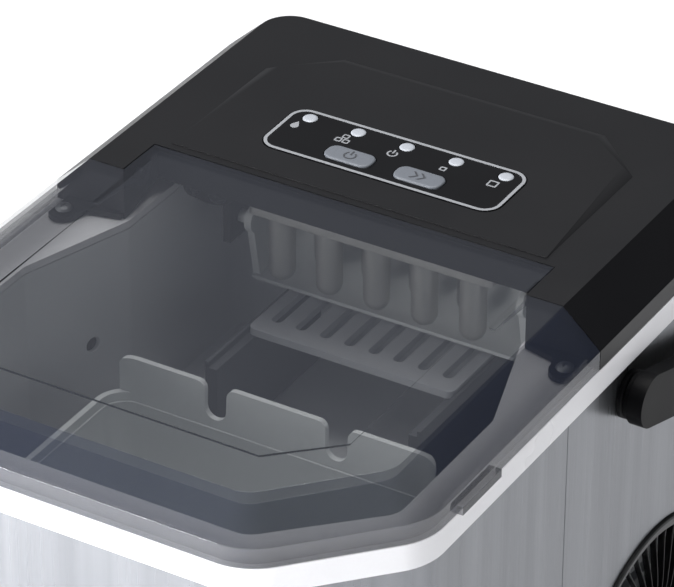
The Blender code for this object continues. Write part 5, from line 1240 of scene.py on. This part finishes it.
def buildBail():
    bail = {"restAngle": 17.7, "wide": 20.0, "thick": 6.0, "gripThick": 13.0, "tipRound": 5.0, "skin": 1.2,
            "boss": 9.0, "pin": 3.5, "edge": 1.4}
    joint = next(entry for entry in frame["joints"] if entry["name"] == "bail_hinge")
    pivotY, pivotZ = (value * 1000 for value in joint["pos_m"][1:])
    high = boxMm("carry_bail")[1]
    angle = math.radians(-bail["restAngle"])
    along = (math.cos(angle), math.sin(angle))
    across = (-along[1], along[0])
    half = bail["wide"] / 2
    grip = bail["gripThick"]
    # the grip's rear face is the model's rearmost point, so its distance follows from the box
    reach = grip * math.cos(-angle) / 2 + (half - 3.0) * math.sin(-angle)
    arm = (high.y - reach - pivotY) / math.cos(angle)

    def armPoint(distance, offset):
        return (pivotY + along[0] * distance + across[0] * offset,
                pivotZ + along[1] * distance + across[1] * offset)

    tip = arm + grip / 2
    r = bail["tipRound"]
    outline = [armPoint(half * math.cos(turn), half * math.sin(turn))
               for turn in [math.pi / 2 + math.pi * step / 32 for step in range(33)]]
    outline += [armPoint(tip - r + r * math.sin(turn), -half + r - r * math.cos(turn))
                for turn in [math.pi / 2 * step / 8 for step in range(9)]]
    outline += [armPoint(tip - r + r * math.cos(turn), half - r + r * math.sin(turn))
                for turn in [math.pi / 2 * step / 8 for step in range(9)]]
    outside = high.x
    piece = None
    for side in (-1, 1):
        first, last = sorted((side * (outside - bail["thick"]), side * outside))
        side1 = prism(bmesh.new(), outline, first, last, (), sideways(0.0))
        if piece is None:
            piece = rawPiece("carryBail", side1)
        else:
            combine(piece, side1, "UNION")
    b = 3.0
    near, far = arm - grip / 2, arm + grip / 2
    corners = [armPoint(near, -half), armPoint(far, -half), armPoint(far, half), armPoint(near, half)]
    bar = rounded(corners, [b + 0.6] * 4, 6)
    combine(piece, prism(bmesh.new(), bar, -outside + 1.0, outside - 1.0, (), sideways(0.0)), "UNION")
    # blind holes for the pins leave the outer faces whole
    drills = bmesh.new()
    for side in (-1, 1):
        drill = [(0, outside - bail["thick"] - 1.0), (bail["pin"] + touchGap, outside - bail["thick"] - 1.0),
                 (bail["pin"] + touchGap, outside - bail["skin"]), (0, outside - bail["skin"])]
        turned(drills, [(radius, side * x) for radius, x in drill], (0, pivotY, pivotZ), "X", 48)
    combine(piece, drills)
    done(piece, finish["handleAbs"], "bail", ["carry_bail"], bail["edge"], 4, tidy=True)

    for side, name in ((-1, "left"), (1, "right")):
        bossLow, bossHigh = boxMm("bail_boss_" + name)
        face = min(abs(bossLow.x), abs(bossHigh.x))
        end = max(abs(bossLow.x), abs(bossHigh.x))
        inner = outside - bail["thick"] - touchGap
        radius = bail["boss"]
        # stepped collar: a thin flange on the arm, a waist, then the wide foot on the sheet
        profile = [(0, face), (radius, face), (radius, inner - 2.6), (radius - 0.5, inner - 2.1),
                   (radius - 1.6, inner - 2.1),
                   (radius - 1.6, inner - 1.7), (radius, inner - 1.5), (radius, inner - 0.3),
                   (radius - 0.4, inner),
                   (bail["pin"], inner), (bail["pin"], end - 0.4), (bail["pin"] - 0.4, end), (0, end)]
        boss = turned(bmesh.new(), [(r, side * x) for r, x in profile], (0, pivotY, pivotZ), "X", 64)
        done(rawPiece("bailBoss." + name, boss), finish["handleAbs"], "housing", ["bail_boss_" + name])


# Screws and grip bumpers

def buildSmallParts():
    for side in ("left", "right"):
        low, high = boxMm("cover_screw_" + side)
        centre = centreMm("cover_screw_" + side)
        head = high.z - 1.8
        screw = turned(bmesh.new(), [(0, low.z), (1.5, low.z), (1.5, head), (2.9, head), (3.2, head + 0.3),
                                     (3.1, head + 0.8),
                                     (2.6, head + 1.3), (1.6, head + 1.65), (0, high.z)],
                       (centre.x, centre.y, 0), "Z", 40)
        piece = rawPiece("coverScrew." + side, screw)
        cross = bmesh.new()
        block(cross, (centre.x - 1.7, centre.y - 0.3, head + 0.7),
              (centre.x + 1.7, centre.y + 0.3, high.z + 1))
        other = bmesh.new()
        block(other, (centre.x - 0.3, centre.y - 1.7, head + 0.7),
              (centre.x + 0.3, centre.y + 1.7, high.z + 1))
        combine(piece, cross)
        combine(piece, other)
        done(piece, finish["zinc"], "housing", ["cover_screw_" + side], sharp=40)
        low, high = boxMm("bail_bumper_" + side)
        centre = centreMm("bail_bumper_" + side)
        radius = (high.x - low.x) / 2
        reach = high.y - low.y
        dome = [(0, 0), (radius, 0), (radius, reach - 1.6), (radius - 0.3, reach - 0.8),
                (radius - 1.1, reach - 0.2),
                (radius - 2.2, reach), (0, reach)]
        done(rawPiece("gripBumper." + side, turned(bmesh.new(), dome, (centre.x, low.y, centre.z), "Y", 40)),
             finish["rubber"], "housing", ["bail_bumper_" + side])


looks = {
    "black_plastic": "backAbs", "white_plastic": "basketPp", "grey_plastic": "shovelAbs",
    "vent_plastic": "ventAbs",
    "smoke_clear": "smoke", "brushed_steel": "steel", "plated_steel": "zinc", "black_metal": "enamel",
    "nickel": "nickel", "aluminium": "fins", "copper": "copper", "rubber": "rubber", "label": "overlay",
    "lamp": "lens",
    "board": "board", "hose": "hose",
}


def paintRest():
    # CAD nodes whose shape stays get the finish that their slot stands for
    for node in frame["nodes"].values():
        for index, held in enumerate(node.data.materials):
            name = held.name.split(".")[0] if held else ""
            node.data.materials[index] = finish[looks.get(name, "backAbs")]
        if not node.data.materials:
            node.data.materials.append(finish["backAbs"])
    # the hinge pins get a dark grey steel, so they read dark in the ear gaps seen through the lid
    for side in ("left", "right"):
        frame["nodes"]["hinge_pin_" + side].data.materials[0] = finish["darkPinSteel"]


paintRest()
buildCover()
buildLid()
print("cover and lid done")
buildRim()
buildPanels()
buildBase()
buildVents()
print("rim, panels, base and vents done")
buildControlPanel()
print("control panel done")
buildTub()
buildBasket()
buildShovel()
buildEvaporator()
buildTrough()
buildSensor()
print("ice store and ice making done")
buildBail()
buildSmallParts()
print("bail and small parts done")
